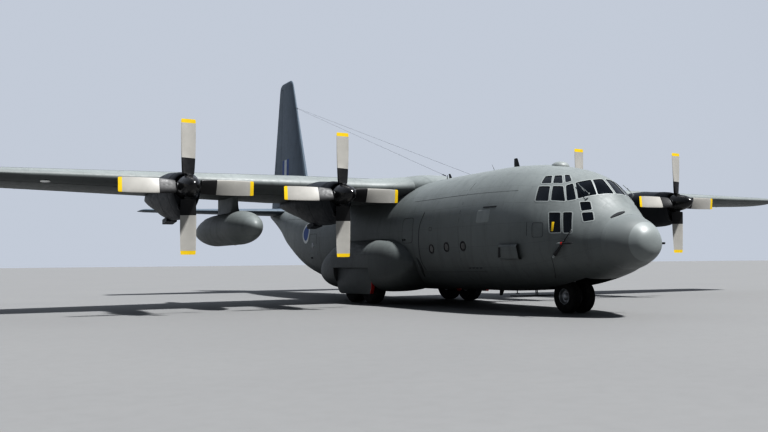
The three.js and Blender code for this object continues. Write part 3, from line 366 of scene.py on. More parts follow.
def power_ring(half, middle, up, down, upper, lower, points):
    """A closed outline of (across, height): an ellipse with its corners filled out by the two powers."""
    ring = []
    for turn in circle(points):
        c, s = math.cos(turn), math.sin(turn)
        power, reach = (upper, up) if s >= 0 else (lower, down)
        across = half * math.copysign(abs(c) ** (2 / power), c)
        ring.append((across, middle + reach * math.copysign(abs(s) ** (2 / power), s)))
    return ring


# Fuselage: station, half width, top, bottom, widest height, upper power, lower power
RADOME_JOINT = 0.85
COCKPIT_JOINT = 6.2
HOLD_END = 17.55
REAR_JOINT = 25.2
RADOME_ROWS = (
    (0.0, 0.03, 2.01, 1.95, 1.98, 2, 2),
    (0.08, 0.36, 2.33, 1.67, 1.98, 2, 2),
    (0.25, 0.54, 2.52, 1.53, 2.0, 2, 2),
    (0.5, 0.76, 2.67, 1.43, 2.03, 2, 2.1),
    (0.85, 0.98, 2.8, 1.31, 2.05, 2, 2.2),
)
HULL_ROWS = (
    (0.85, 0.98, 2.8, 1.31, 2.05, 2, 2.2),
    (1.14, 1.11, 3.08, 1.23, 2.09, 1.8, 2.3),
    (1.5, 1.33, 3.51, 1.12, 2.14, 1.7, 2.4),
    (1.88, 1.54, 3.87, 1.03, 2.2, 1.75, 2.5),
    (2.4, 1.8, 4.1, 0.92, 2.3, 1.95, 2.6),
    (3.07, 1.99, 4.3, 0.8, 2.38, 2.1, 2.7),
    (4.24, 2.12, 4.52, 0.67, 2.48, 2.05, 2.8),
    (6.1, 2.16, 4.63, 0.6, 2.52, 2, 2.8),
    (17.55, 2.16, 4.63, 0.6, 2.52, 2, 2.8),
    (19.6, 2.08, 4.62, 0.97, 2.72, 2, 3.2),
    (20.9, 1.97, 4.61, 1.36, 2.92, 2, 3.5),
    (23.2, 1.62, 4.59, 2.17, 3.3, 2, 3.5),
    (25.2, 1.2, 4.57, 2.9, 3.62, 2, 2.6),
    (27.2, 0.78, 4.54, 3.57, 3.95, 2, 2.2),
    (29.0, 0.36, 4.47, 4.08, 4.24, 2, 2),
    (29.6, 0.12, 4.4, 4.24, 4.32, 2, 2),
)
HULL_POINTS = 128
hull_curve = curve_through(HULL_ROWS)
radome_curve = curve_through([(math.sqrt(row[0]), *row[1:]) for row in RADOME_ROWS])


def hull_row(station):
    """Half width, top, bottom, widest height and the two powers of the fuselage at a station."""
    if station < RADOME_JOINT:
        return radome_curve(math.sqrt(max(0, station)))
    return hull_curve(station)


def hull_ring(station, inset=0.0, raised=0.0):
    half, top, bottom, widest, upper, lower = hull_row(station)
    up, down = top - widest - inset, widest - bottom - inset
    outline = power_ring(half - inset, widest, up, down, upper, lower, HULL_POINTS)
    return [at(x, station, height + raised) for x, height in outline]


def hull_body(start, end, step=0.25, inset=0.0, raised=0.0, caps=True):
    """The closed body of the fuselage between two stations."""
    count = max(1, round((end - start) / step))
    return lofted([hull_ring(station, inset, raised) for station in span_of(start, end, count)], caps)


def hull_shell(start, end, step, wall=SKIN, proud=0.0):
    """The fuselage's skin between two stations."""
    shell = hull_body(start, end, step, -proud, caps=False)
    return modify(shell, "SOLIDIFY", thickness=scaled(wall), offset=-1, use_even_offset=False)


def half_width(station, height):
    """Half the width of the fuselage at a station and height."""
    half, top, bottom, widest, upper, lower = hull_row(station)
    power = upper if height >= widest else lower
    reach = top - widest if height >= widest else widest - bottom
    share = min(1, abs(height - widest) / reach)
    return half * (1 - share**power) ** (1 / power)


def hull_point(side, station, height, proud=0.0):
    """A point on the fuselage's side, and how far it stands proud of it."""
    step = 0.02
    x = half_width(station, height)
    along = Vector((half_width(station + step, height) - x, step, 0))
    up = Vector((half_width(station, height + step) - x, 0, step))
    out = up.cross(along) * -1
    if out.x < 0:
        out = -out
    out = out.normalized() * proud
    return at(side * (x + out.x), station + out.y, height + out.z)


def onto_hull(piece, side, station, height):
    """Lays a piece that was made flat (X aft, Y up, Z out of the skin) on the fuselage's side at a point."""
    for corner in piece.data.vertices:
        x, y, z = corner.co / SCALE
        corner.co = hull_point(side, station + x, height + y, z)
    with editing(piece):
        bpy.ops.mesh.normals_make_consistent(inside=False)
    return piece


# Cockpit windows on the starboard side, each by four corners (x, station, height)
WINDOWS = {
    "eyebrow_aft": ((-1.11, 3.06, 4.0), (-1.0, 2.89, 4.0), (-1.22, 2.67, 3.76), (-1.36, 2.94, 3.77)),
    "eyebrow_middle": ((-0.96, 2.82, 4.0), (-0.83, 2.66, 4.0), (-1.05, 2.38, 3.77), (-1.19, 2.62, 3.77)),
    "eyebrow_forward": ((-0.76, 2.62, 4.01), (-0.68, 2.51, 4.01), (-0.83, 2.25, 3.82), (-0.98, 2.33, 3.79)),
    "side_aft": ((-1.44, 2.93, 3.68), (-1.3, 2.62, 3.67), (-1.56, 2.41, 3.25), (-1.7, 2.79, 3.25)),
    "side_middle": ((-1.26, 2.55, 3.68), (-1.11, 2.29, 3.67), (-1.32, 1.99, 3.26), (-1.52, 2.34, 3.27)),
    "side_forward": ((-1.05, 2.24, 3.69), (-0.87, 2.15, 3.75), (-1.1, 1.77, 3.32), (-1.28, 1.94, 3.28)),
    "windscreen_outer": ((-0.8, 2.11, 3.77), (-0.4, 1.94, 3.84), (-0.57, 1.5, 3.43), (-1.04, 1.73, 3.34)),
    "windscreen_inner": ((-0.35, 1.91, 3.83), (-0.05, 1.86, 3.84), (-0.05, 1.38, 3.43), (-0.52, 1.48, 3.43)),
    "chin_upper": ((-1.07, 1.64, 3.23), (-0.86, 1.46, 3.23), (-0.94, 1.31, 3.02), (-1.15, 1.49, 2.99)),
    "chin_lower": ((-1.18, 1.46, 2.92), (-0.97, 1.26, 2.93), (-1.04, 1.14, 2.71), (-1.23, 1.34, 2.67)),
    "tall_aft": ((-1.66, 2.27, 2.9), (-1.53, 1.98, 2.9), (-1.62, 1.87, 2.35), (-1.73, 2.17, 2.34)),
    "tall_forward": ((-1.49, 1.9, 2.91), (-1.36, 1.69, 2.91), (-1.48, 1.58, 2.34), (-1.58, 1.79, 2.34)),
}
INSIDE_COCKPIT = Vector((0, 2.6, 2.6))
WINDOW_CORNER = 0.035
PRISM_REACH = 0.2


def window_prism(corners, grow, side):
    """A prism through the skin at a window, with rounded corners, larger than the window by grow on each edge."""
    points = [Vector(corner) for corner in corners]
    centre = sum(points, Vector()) / len(points)
    normal = (points[2] - points[0]).cross(points[3] - points[1]).normalized()
    if normal.dot(centre - INSIDE_COCKPIT) < 0:
        normal.negate()
    wide = []
    for i, point in enumerate(points):
        before, after = points[i - 1], points[(i + 1) % 4]
        wide.append(point + ((point - before).normalized() + (point - after).normalized()) * grow)
    rings = [[point + normal * reach for point in wide] for reach in (-PRISM_REACH, PRISM_REACH)]
    prism = lofted([[at(-side * p.x, p.y, p.z) for p in ring] for ring in rings])
    out = Vector((-side * normal.x, normal.y, normal.z))
    with editing(prism, lambda middle, along: abs(along.dot(out)) > 0.9, "EDGE"):
        bpy.ops.mesh.bevel(offset=scaled(WINDOW_CORNER + grow), segments=4, affect="EDGES", profile=0.5)
    return prism


def window_prisms(grow):
    """The prisms of all windows on both sides, as one cutter."""
    return joined([window_prism(corners, grow, side) for corners in WINDOWS.values() for side, _ in SIDES])


# Materials
class Finish:
    """A material whose nodes are added and joined one at a time."""

    def __init__(self, name, rough, metal=0.0, **settings):
        self.material = bpy.data.materials.new(name)
        self.material.use_nodes = True
        self.tree = self.material.node_tree
        self.shader = self.tree.nodes["Principled BSDF"]
        self.place = self.add("ShaderNodeTexCoord").outputs["Object"]
        self.set(Roughness=rough, Metallic=metal, **settings)

    def add(self, kind, inputs=None, **settings):
        node = self.tree.nodes.new(kind)
        for name, value in settings.items():
            setattr(node, name, value)
        self.feed(node, inputs or {})
        return node

    def feed(self, node, inputs):
        """Joins sockets to a node's inputs, or gives them numbers and colours."""
        for key, value in inputs.items():
            socket = node.inputs[key]
            if isinstance(value, bpy.types.NodeSocket):
                self.tree.links.new(value, socket)
            elif socket.type == "RGBA":
                socket.default_value = (*value, 1)
            else:
                socket.default_value = value

    def set(self, **inputs):
        self.feed(self.shader, {name.replace("_", " "): value for name, value in inputs.items()})

    def stretched(self, x=1.0, y=1.0, z=1.0):
        """The piece's own coordinates, scaled along each axis."""
        return self.add("ShaderNodeMapping", {"Vector": self.place, "Scale": (x, y, z)}).outputs["Vector"]

    def axes(self):
        """The piece's own coordinates, one by one."""
        parts = self.add("ShaderNodeSeparateXYZ", {"Vector": self.place}).outputs
        return parts["X"], parts["Y"], parts["Z"]

    def noise(self, scale, detail=5.0, rough=0.55, place=None):
        inputs = {"Vector": place or self.place, "Scale": scale, "Detail": detail, "Roughness": rough}
        return self.add("ShaderNodeTexNoise", inputs).outputs["Fac"]

    def between(self, value, low, high, start=0.0, end=1.0):
        """A value from low to high, made to run from start to end."""
        inputs = {"Value": value, "From Min": low, "From Max": high, "To Min": start, "To Max": end}
        return self.add("ShaderNodeMapRange", inputs).outputs["Result"]

    def mix(self, share, first, second, blend="MIX"):
        inputs = {0: share, 6: first, 7: second}
        return self.add("ShaderNodeMix", inputs, data_type="RGBA", blend_type=blend).outputs[2]

    def over(self, tone, value, low, high, share, colour):
        """A tone with a colour laid over it where a value runs from low to high."""
        return self.mix(self.between(value, low, high, 0.0, share), tone, colour)

    def maths(self, operation, first, second=0.0):
        return self.add("ShaderNodeMath", {0: first, 1: second}, operation=operation).outputs[0]

    def bump(self, height, strength, distance, below=None):
        inputs = {"Height": height, "Strength": strength, "Distance": distance}
        if below:
            inputs["Normal"] = below
        return self.add("ShaderNodeBump", inputs).outputs["Normal"]

    def brick(self, place, width, height, gap, stagger=0.5):
        """Lines of a brick layout: 1 on the lines, 0 between them."""
        inputs = {"Vector": place, "Scale": 1.0, "Mortar Size": gap, "Mortar Smooth": 0.2, "Brick Width": width,
                  "Row Height": height}
        return self.add("ShaderNodeTexBrick", inputs, offset=stagger).outputs["Fac"]


def shade(colour, factor):
    return tuple(channel * factor for channel in colour)


def panel_place(finish, layout):
    """Two coordinates along a piece's surface: round the fuselage, over a wing, or on an upright side."""
    x, y, z = finish.axes()
    if layout == "hull":
        mean_radius = 1.03
        turn = finish.maths("ARCTAN2", x, finish.maths("SUBTRACT", z, scaled(2.52)))
        first, second = y, finish.maths("MULTIPLY", turn, mean_radius)
    elif layout == "plan":
        first, second = x, y
    else:
        first, second = y, z
    return finish.add("ShaderNodeCombineXYZ", {"X": first, "Y": second, "Z": 0.0}).outputs["Vector"]


def weathered(finish, layout, level=4.27, rise=0.6):
    """How much light the paint gives back, as painted light and shade: a painted highlight on top and painted shade
    lower down.
    """
    x, _, z = finish.axes()
    if layout != "plan":
        # painted shade: darker towards the bottom of the fuselage; painted highlight: lighter towards its top
        painted_low_shade = finish.between(z, scaled(1.2), scaled(2.9), 0.6, 1.0)
        return finish.maths("MULTIPLY", painted_low_shade, finish.between(z, scaled(3.5), scaled(4.6), 1.0, 1.25))
    # painted light and shade on a wing or tailplane: lighter above its middle plane, darker below it
    middle = finish.maths("MULTIPLY", finish.maths("ABSOLUTE", x), math.tan(math.radians(rise)))
    lift = finish.maths("SUBTRACT", z, finish.maths("ADD", middle, scaled(level)))
    return finish.between(lift, scaled(-0.1), scaled(0.12), 0.6, 1.25)


def paint(name, colour, layout="side", rough=0.5, panels=(0.62, 0.31), wear=1.0, **wing):
    """Matt aircraft paint with soft blotches, rain streaks, panel joints and rows of rivets, lighter on top and
    darker below as painted light and shade.
    """
    finish = Finish(name, rough, Specular_IOR_Level=0.35)
    broad = finish.noise(1.1, 4.0, 0.6)
    fine = finish.noise(14.0, 6.0, 0.6)
    streak = finish.noise(5.0, 5.0, 0.6, finish.stretched(1.0, 1.6, 0.18))
    dim, bright = shade(colour, 1 - 0.1 * wear), shade(colour, 1 + 0.07 * wear)
    tone = finish.mix(finish.between(broad, 0.35, 0.68), dim, bright)
    tone = finish.over(tone, fine, 0.45, 0.75, 0.35 * wear, shade(colour, 1.16))
    tone = finish.over(tone, streak, 0.52, 0.72, 0.55, shade(colour, 0.72))
    place = panel_place(finish, layout)
    joints = finish.brick(place, *panels, 0.0022)
    rivets = finish.add("ShaderNodeTexVoronoi", {"Vector": place, "Scale": 42.0, "Randomness": 0.0})
    dots = finish.between(rivets.outputs["Distance"], 0.1, 0.16, 1.0, 0.0)
    dots = finish.maths("MULTIPLY", dots, finish.brick(place, *panels, 0.011))
    tone = finish.mix(finish.maths("MULTIPLY", joints, 0.34), tone, shade(colour, 0.42))
    tone = finish.mix(finish.maths("MULTIPLY", dots, 0.22), tone, shade(colour, 0.55))
    # painted light and shade: the colour is made lighter on top and darker below
    tone = finish.mix(1.0, tone, weathered(finish, layout, **wing), "MULTIPLY")
    height = finish.maths("ADD", finish.maths("MULTIPLY", joints, -1.0), finish.maths("MULTIPLY", dots, -0.5))
    finish.set(
        Base_Color=tone,
        Roughness=finish.between(fine, 0.3, 0.7, rough - 0.07, rough + 0.1),
        Normal=finish.bump(height, 0.4, 0.0012, finish.bump(broad, 0.25, 0.01)),
    )
    return finish.material


def capped_paint(name, colour, edge):
    """Radome paint: smooth, stained by rain, with a paler tip that ends at the given edge as a painted highlight, and
    painted light and shade by height.
    """
    finish = Finish(name, 0.45)
    stains = finish.noise(9.0, 6.0, 0.6, finish.stretched(1.0, 1.0, 0.25))
    tone = finish.mix(finish.between(finish.noise(2.0, 4.0), 0.35, 0.7), shade(colour, 0.95), shade(colour, 1.06))
    tone = finish.over(tone, stains, 0.5, 0.75, 0.3, shade(colour, 0.8))
    # painted highlight: the tip ahead of the edge is made paler, where the sun falls on the nose
    cap = finish.between(finish.axes()[1], edge, edge + 0.008, 1.4, 1.0)
    # with the painted light and shade by height, as on the hull
    for factor in (cap, weathered(finish, "hull")):
        tone = finish.mix(1.0, tone, factor, "MULTIPLY")
    finish.set(
        Base_Color=tone,
        Roughness=finish.between(stains, 0.3, 0.7, 0.4, 0.52),
        Normal=finish.bump(finish.noise(60.0), 0.1, 0.0006),
    )
    return finish.material


def plain_paint(name, colour, rough=0.5, wear=0.5, metal=0.0, scale=30.0, coat=0.0):
    """Paint of a small piece: blotches, fine scratches and a slight orange peel."""
    finish = Finish(name, rough, metal, Coat_Weight=coat)
    broad = finish.between(finish.noise(scale * 0.2, 4.0), 0.35, 0.7)
    fine = finish.noise(scale, 6.0, 0.65)
    tone = finish.mix(broad, shade(colour, 1 - 0.22 * wear), shade(colour, 1 + 0.16 * wear))
    finish.set(
        Base_Color=finish.over(tone, fine, 0.58, 0.74, 0.5 * wear, shade(colour, 1.5)),
        Roughness=finish.between(fine, 0.3, 0.7, rough - 0.08, rough + 0.12),
        Normal=finish.bump(finish.noise(scale * 6), 0.12, 0.0008),
    )
    return finish.material


def worn_metal(name, colour, rough=0.35):
    """Bare or plated metal with fine scratches one way and dull spots."""
    finish = Finish(name, rough, 0.85)
    grain = finish.noise(60.0, 5.0, 0.7, finish.stretched(1.0, 0.12, 1.0))
    tone = finish.mix(finish.between(finish.noise(9.0), 0.4, 0.7), shade(colour, 0.72), colour)
    finish.set(
        Base_Color=finish.over(tone, grain, 0.55, 0.8, 0.5, shade(colour, 1.3)),
        Roughness=finish.between(grain, 0.3, 0.7, rough - 0.1, rough + 0.2),
        Normal=finish.bump(grain, 0.1, 0.0005),
    )
    return finish.material


def rubber(name):
    """Black rubber with dust in its pores and a lighter, scuffed tread."""
    finish = Finish(name, 0.82, Specular_IOR_Level=0.3)
    dust = finish.noise(11.0, 6.0, 0.65)
    finish.set(
        Base_Color=finish.mix(finish.between(dust, 0.4, 0.72), (0.012, 0.012, 0.013), (0.045, 0.043, 0.04)),
        Roughness=finish.between(dust, 0.3, 0.7, 0.74, 0.92),
        Normal=finish.bump(finish.noise(160.0, 3.0), 0.25, 0.0006),
    )
    return finish.material


def dark_glass(name, colour, clear):
    """Tinted glass that shows a little of what is behind it, with dust and rain marks on it."""
    finish = Finish(name, 0.06, Specular_IOR_Level=0.6, Coat_Weight=0.3, IOR=1.5, Alpha=1 - clear)
    smear = finish.noise(7.0, 5.0, 0.6, finish.stretched(1.0, 1.0, 0.3))
    finish.set(
        Base_Color=finish.mix(finish.between(smear, 0.45, 0.8), colour, shade(colour, 2.2)),
        Roughness=finish.between(smear, 0.45, 0.8, 0.04, 0.2),
    )
    return finish.material


def cabin_paint(name, colour):
    """Primer and paint of the inside, with quilted blankets' seams and scuffs."""
    finish = Finish(name, 0.7)
    scuffs = finish.noise(26.0, 6.0, 0.7)
    seams = finish.brick(panel_place(finish, "side"), 0.25, 0.16, 0.003, 0.0)
    tone = finish.mix(finish.between(finish.noise(3.0, 4.0), 0.3, 0.7), shade(colour, 0.8), shade(colour, 1.12))
    tone = finish.over(tone, scuffs, 0.6, 0.78, 0.6, shade(colour, 1.5))
    finish.set(
        Base_Color=finish.mix(finish.maths("MULTIPLY", seams, 0.5), tone, shade(colour, 0.4)),
        Normal=finish.bump(seams, 0.5, -0.002),
        Roughness=finish.between(scuffs, 0.3, 0.7, 0.6, 0.8),
    )
    return finish.material


def woven(name, colour):
    """Coarse seat cloth: two crossed sets of threads, sheen and faded places."""
    finish = Finish(name, 0.85, Sheen_Weight=0.35)
    wave = {"Vector": finish.place, "Scale": 260.0}
    threads = finish.maths("MAXIMUM", *(
        finish.add("ShaderNodeTexWave", wave, bands_direction=axis).outputs["Fac"] for axis in "XZ"
    ))
    tone = finish.mix(finish.between(finish.noise(12.0), 0.35, 0.7), shade(colour, 0.75), shade(colour, 1.3))
    finish.set(
        Base_Color=finish.mix(finish.maths("MULTIPLY", threads, 0.4), shade(colour, 0.5), tone),
        Normal=finish.bump(threads, 0.4, 0.0006),
    )
    return finish.material


def stained_metal(name):
    """Exhaust pipe metal with brown and blue heat stains."""
    finish = Finish(name, 0.42, 0.9)
    rings = finish.noise(6.0, 5.0, 0.6, finish.stretched(0.5, 3.0, 0.5))
    soot = finish.noise(17.0, 6.0, 0.65)
    tone = finish.mix(finish.between(rings, 0.35, 0.65), (0.17, 0.1, 0.06), (0.12, 0.13, 0.17))
    finish.set(
        Base_Color=finish.mix(finish.between(soot, 0.45, 0.7), tone, (0.02, 0.02, 0.02)),
        Roughness=finish.between(soot, 0.35, 0.7, 0.32, 0.7),
    )
    return finish.material


HULL_GREY = (0.175, 0.19, 0.188)
TAIL_GREY = (0.1, 0.125, 0.152)
DARK_GREY = (0.02, 0.023, 0.028)
# where the painted highlight on the radome's tip ends
RADOME_HIGHLIGHT_END = 0.3
MADE = {}


def finishes():
    """All the materials, made once."""
    MADE.update(
        hull=paint("hull_paint", HULL_GREY, "hull"),
        plan=paint("wing_paint", HULL_GREY, "plan", panels=(0.8, 0.4)),
        side=paint("side_paint", HULL_GREY),
        tail=paint("tail_paint", TAIL_GREY, panels=(0.55, 0.4)),
        tail_plan=paint(
            "tailplane_paint", TAIL_GREY, "plan", panels=(0.6, 0.35), level=TAILPLANE_HEIGHT, rise=0.0
        ),
        radome=capped_paint("radome_paint", HULL_GREY, at(0, RADOME_HIGHLIGHT_END, 0).y),
        nacelle=paint("nacelle_paint", DARK_GREY, rough=0.45, panels=(0.4, 0.2), wear=1.6),
        light=plain_paint("window_frame_paint", (0.25, 0.268, 0.264), 0.5, 0.3),
        pale=plain_paint("pale_patch_paint", (0.22, 0.237, 0.233), 0.5, 0.4),
        # near black for dark fittings, and also the painted shade of holes, slots, mouths and slits
        dark=plain_paint("dark_fittings_and_painted_shade", (0.018, 0.019, 0.021), 0.5, 0.6),
        seam=plain_paint("seam_line", shade(HULL_GREY, 0.3), 0.7, 0.4),
        black=plain_paint("spinner_black", (0.008, 0.008, 0.009), 0.3, 0.5, coat=0.3),
        cuff=plain_paint("blade_cuff_black", (0.012, 0.012, 0.013), 0.5, 1.0, scale=16.0),
        blade=plain_paint("blade_grey", (0.37, 0.36, 0.335), 0.45, 0.3, scale=18.0),
        yellow=plain_paint("tip_yellow", (0.7, 0.49, 0.012), 0.45, 0.3),
        red=plain_paint("red_lens", (0.45, 0.012, 0.008), 0.3, 0.4, coat=0.4),
        green=plain_paint("green_lens", (0.01, 0.3, 0.05), 0.25, 0.4, coat=0.4),
        clear=plain_paint("lamp_lens", (0.75, 0.76, 0.74), 0.15, 0.2, coat=0.5),
        blue=plain_paint("marking_blue", (0.025, 0.07, 0.24), 0.5, 0.5),
        white=plain_paint("marking_white", (0.5, 0.52, 0.52), 0.5, 0.4),
        steel=worn_metal("gear_steel", (0.42, 0.43, 0.44)),
        chrome=worn_metal("polished_strut", (0.7, 0.7, 0.72), 0.16),
        wheel=worn_metal("wheel_metal", (0.5, 0.51, 0.52), 0.38),
        engine=worn_metal("engine_metal", (0.3, 0.29, 0.27), 0.5),
        exhaust=stained_metal("exhaust_metal"),
        tyre=rubber("tyre_rubber"),
        glass=dark_glass("cockpit_glass", (0.003, 0.005, 0.008), 0.12),
        window=dark_glass("cabin_glass", (0.004, 0.005, 0.006), 0.05),
        cabin=cabin_paint("cabin_paint", (0.2, 0.23, 0.19)),
        cockpit=cabin_paint("cockpit_paint", (0.055, 0.06, 0.058)),
        deck=plain_paint("deck_paint", (0.1, 0.105, 0.1), 0.6, 1.0, 0.2, 22.0),
        cloth=woven("seat_cloth", (0.05, 0.065, 0.04)),
    )


# Fuselage pieces
CREW_DOOR = {"front": 3.62, "back": 4.42, "sill": 1.08, "head": 2.78, "room_below": 0.064}
DOOR_WALL = 0.12
DOOR_HALF = (CREW_DOOR["back"] - CREW_DOOR["front"]) / 2
# the door's low outer edge, cut slantwise so that the opened door stays clear of the sill: (out, up) from the hinge
SILL_ROOM = ((0.044, 0.036), (0.15, 0.081), (0.15, -0.03), (0.068, -0.03))
RAMP = {"half": 1.488, "back": 20.86, "hinge": (17.64, 0.74), "tube_half": 1.08, "top": 1.04}
REAR_DOOR = {
    "half": 1.38, "front": 20.89, "back": 23.24, "taper": 0.19, "hinge": (23.27, 2.455), "tube_half": 1.16,
}
NOSE_WELL = {"half": 0.64, "front": 1.95, "back": 3.95, "top": 1.7}
WHEEL_WELL = {"inner": 1.7, "outer": 2.64, "front": 11.44, "back": 14.6, "top": 1.76}


def lined(shell, lining="cabin"):
    """A hull shell with the hull's paint outside and another finish on the faces that look into the hull."""
    coated(shell, "hull", lining)
    middle = scaled(2.5)
    for face in shell.data.polygons:
        outward = Vector((face.center.x, 0, face.center.z - middle))
        face.material_index = 1 if face.normal.dot(outward) < -0.3 * outward.length else 0
    return shell


def crew_door_hinge():
    """The middle of the crew door's hinge, the direction along it and the direction out of the door."""
    found = next(joint for joint in frame["joints"] if joint["name"] == "crew_door_hinge")
    centre, axis = Vector(found["pos_m"]), Vector(found["axis"])
    return centre, axis, Vector((axis.y, -axis.x, 0))


def at_crew_door(out, along, up):
    """A point by its distances from the middle of the crew door's hinge."""
    centre, axis, across = crew_door_hinge()
    return centre + across * scaled(out) + axis * scaled(along) + Vector((0, 0, scaled(up)))


def door_block(gap, below, radius):
    """The block that the crew door fills, or that its opening needs, with round upper corners."""
    centre, axis, across = crew_door_hinge()
    length = (CREW_DOOR["back"] - CREW_DOOR["front"]) / axis.y + 2 * gap
    low, high = -below, CREW_DOOR["head"] - CREW_DOOR["sill"] + gap
    middle = centre + shift(0, 0, (low + high) / 2)
    bpy.ops.mesh.primitive_cube_add(
        size=1, location=middle, rotation=(0, 0, -math.atan2(axis.x, axis.y)), scale=shift(1.8, length, high - low)
    )
    piece = fresh()
    with editing(piece, lambda place, along: abs(along.dot(across)) > 0.9 and place.z > middle.z, "EDGE"):
        bpy.ops.mesh.bevel(offset=scaled(radius), segments=6, affect="EDGES")
    return piece


def rear_door_plan(gap):
    """The rear cargo door's outline from below, through the whole height of the fuselage's underside."""
    half, front, back, taper = (REAR_DOOR[word] for word in ("half", "front", "back", "taper"))
    wide, narrow = half + gap, half - taper + gap
    corners = ((-wide, front - gap), (wide, front - gap), (narrow, back + gap), (-narrow, back + gap))
    return lofted([[at(x, station, height) for x, station in corners] for height in (0.9, 3.0)])


def make_nose():
    """The radome, a little cleaner than the hull behind it, with a raised band at its joint."""
    rings = [hull_ring(RADOME_JOINT * (i / 36) ** 2) for i in range(36)]
    rings += [hull_ring(RADOME_JOINT - 0.004), hull_ring(RADOME_JOINT - 0.004, 0.03)]
    radome = coated(lofted(rings), "radome", "cockpit")
    for face in radome.data.polygons:
        face.material_index = 1 if face.normal.y > 0.8 else 0
    settle("radome_shell", smoothed(radome, 40), None, stands_for=["nose_radome"])
    steps = ((-0.05, -0.01), (-0.05, 0.003), (0.05, 0.003), (0.05, -0.01))
    band = lofted([hull_ring(RADOME_JOINT + along, -proud) for along, proud in steps], caps=False)
    settle("radome_joint_band", smoothed(band), "radome")


def make_cockpit():
    """The skin round the flight deck with its openings, the nose wheels' well, the panes and their frames."""
    half, front, back, top = (NOSE_WELL[word] for word in ("half", "front", "back", "top"))
    shell = cut(
        hull_shell(RADOME_JOINT, COCKPIT_JOINT, 0.06),
        window_prisms(0.0),
        door_block(RUNNING_GAP, CREW_DOOR["room_below"], 0.13),
        block((-half, front, 0.3), (half, back, top)),
    )
    settle("cockpit_skin", lined(smoothed(shell), "cockpit"), None, stands_for=["cockpit_shell"])

    lining = hull_body(front - 0.05, back + 0.05, 0.1, SKIN - 0.01)
    lining = kept(lining, block((-half - 0.05, front - 0.1, 0.3), (half + 0.05, back + 0.1, top + 0.05)))
    lining = cut(lining, block((-half, front, 0.2), (half, back, top)))
    settle("nose_well_lining", smoothed(lining), "cockpit")

    glass = kept(hull_shell(0.9, 3.4, 0.05, 0.02, -0.012), window_prisms(0.02), crossing=True)
    settle("cockpit_panes", smoothed(glass), "glass", stands_for=["cockpit_glazing"])

    frames = kept(hull_shell(0.9, 3.4, 0.05, 0.04, 0.006), window_prisms(0.034), crossing=True)
    settle("window_frames", smoothed(cut(frames, window_prisms(0.0))), "light")


def make_crew_door():
    """The door that hangs on its sill, with its hinge and the steps inside it."""
    panel = kept(hull_shell(3.2, 4.9, 0.05, DOOR_WALL), door_block(0.0, 0.0, 0.12))
    room = lofted([[at_crew_door(out, along, up) for out, up in SILL_ROOM] for along in (-0.5, 0.5)])
    settle("crew_door_panel", lined(smoothed(cut(panel, room))), None, "crew_door", stands_for=["crew_door"])

    ends = [(place - 0.045, place + 0.045, 0.024) for place in span_of(-DOOR_HALF + 0.05, DOOR_HALF - 0.05, 4)]
    ends.append((-DOOR_HALF - 0.05, DOOR_HALF + 0.05, 0.014))
    knuckles = [bar(at_crew_door(0, front, 0), at_crew_door(0, back, 0), radius) for front, back, radius in ends]
    settle("crew_door_hinge_tube", rounded(joined(knuckles), 0.004), "steel", "crew_door")

    treads = []
    hinge = crew_door_hinge()[0]
    station = hinge.y / SCALE + LENGTH / 2
    for up in (0.32, 0.7, 1.08, 1.44):
        inner = half_width(station, CREW_DOOR["sill"] + up) - DOOR_WALL - hinge.x / SCALE
        corners = ((inner - 0.2, -0.28), (inner + 0.02, -0.28), (inner + 0.02, 0.28), (inner - 0.2, 0.28))
        tread = lofted([[at_crew_door(out, along, height) for out, along in corners] for height in (up, up + 0.035)])
        treads.append(pressed(tread, lambda middle, normal: normal.z > 0.9, 0.025, (0, 0, -0.008)))
    settle("crew_door_steps", rounded(joined(treads), 0.003), "deck", "crew_door")


def make_hold():
    """The skin of the hold, open where the main wheels stand."""
    inner, front, back, top = (WHEEL_WELL[word] for word in ("inner", "front", "back", "top"))
    wells = [
        block((side * (inner - 0.06), front - 0.06, 0.7), (side * 2.4, back + 0.06, top + 0.06)) for side, _ in SIDES
    ]
    shell = cut(hull_shell(COCKPIT_JOINT, HOLD_END, 0.35), *wells)
    settle("hold_skin", lined(smoothed(shell)), None, stands_for=["cargo_hold_shell"])


def make_rear():
    """The skin over the ramp and the rear door, and the tail cone."""
    half, ramp_front = RAMP["half"] + RUNNING_GAP, RAMP["hinge"][0] - RUNNING_GAP
    notch_half, notch_end = REAR_DOOR["tube_half"] + RUNNING_GAP, REAR_DOOR["hinge"][0] + 0.048
    shell = cut(
        hull_shell(HOLD_END, REAR_JOINT, 0.15, 0.08),
        block((-half, ramp_front, 0.2), (half, RAMP["back"] + RUNNING_GAP, 2.3)),
        rear_door_plan(RUNNING_GAP),
        block((-notch_half, REAR_DOOR["back"] - 0.1, 0.9), (notch_half, notch_end, 2.7)),
    )
    settle("rear_fuselage_skin", lined(smoothed(shell)), None, stands_for=["rear_fuselage_shell"])

    rings = [hull_ring(station) for station in (*span_of(REAR_JOINT, 29.5, 36), 29.6)]
    cone = lofted([*rings, hull_ring(29.63, 0.03), hull_ring(29.64, 0.07)])
    settle("tail_cone_skin", smoothed(cone, 50), "hull", stands_for=["tail_cone"])


def hinge_tube(part, radius, past):
    """A tube across the aircraft, with a pin that stands out at each end."""
    half, (station, height) = part["tube_half"], part["hinge"]
    tube = crossbar(-half, half, station, height, radius)
    return [tube, crossbar(-half - past, half + past, station, height, 0.02)]


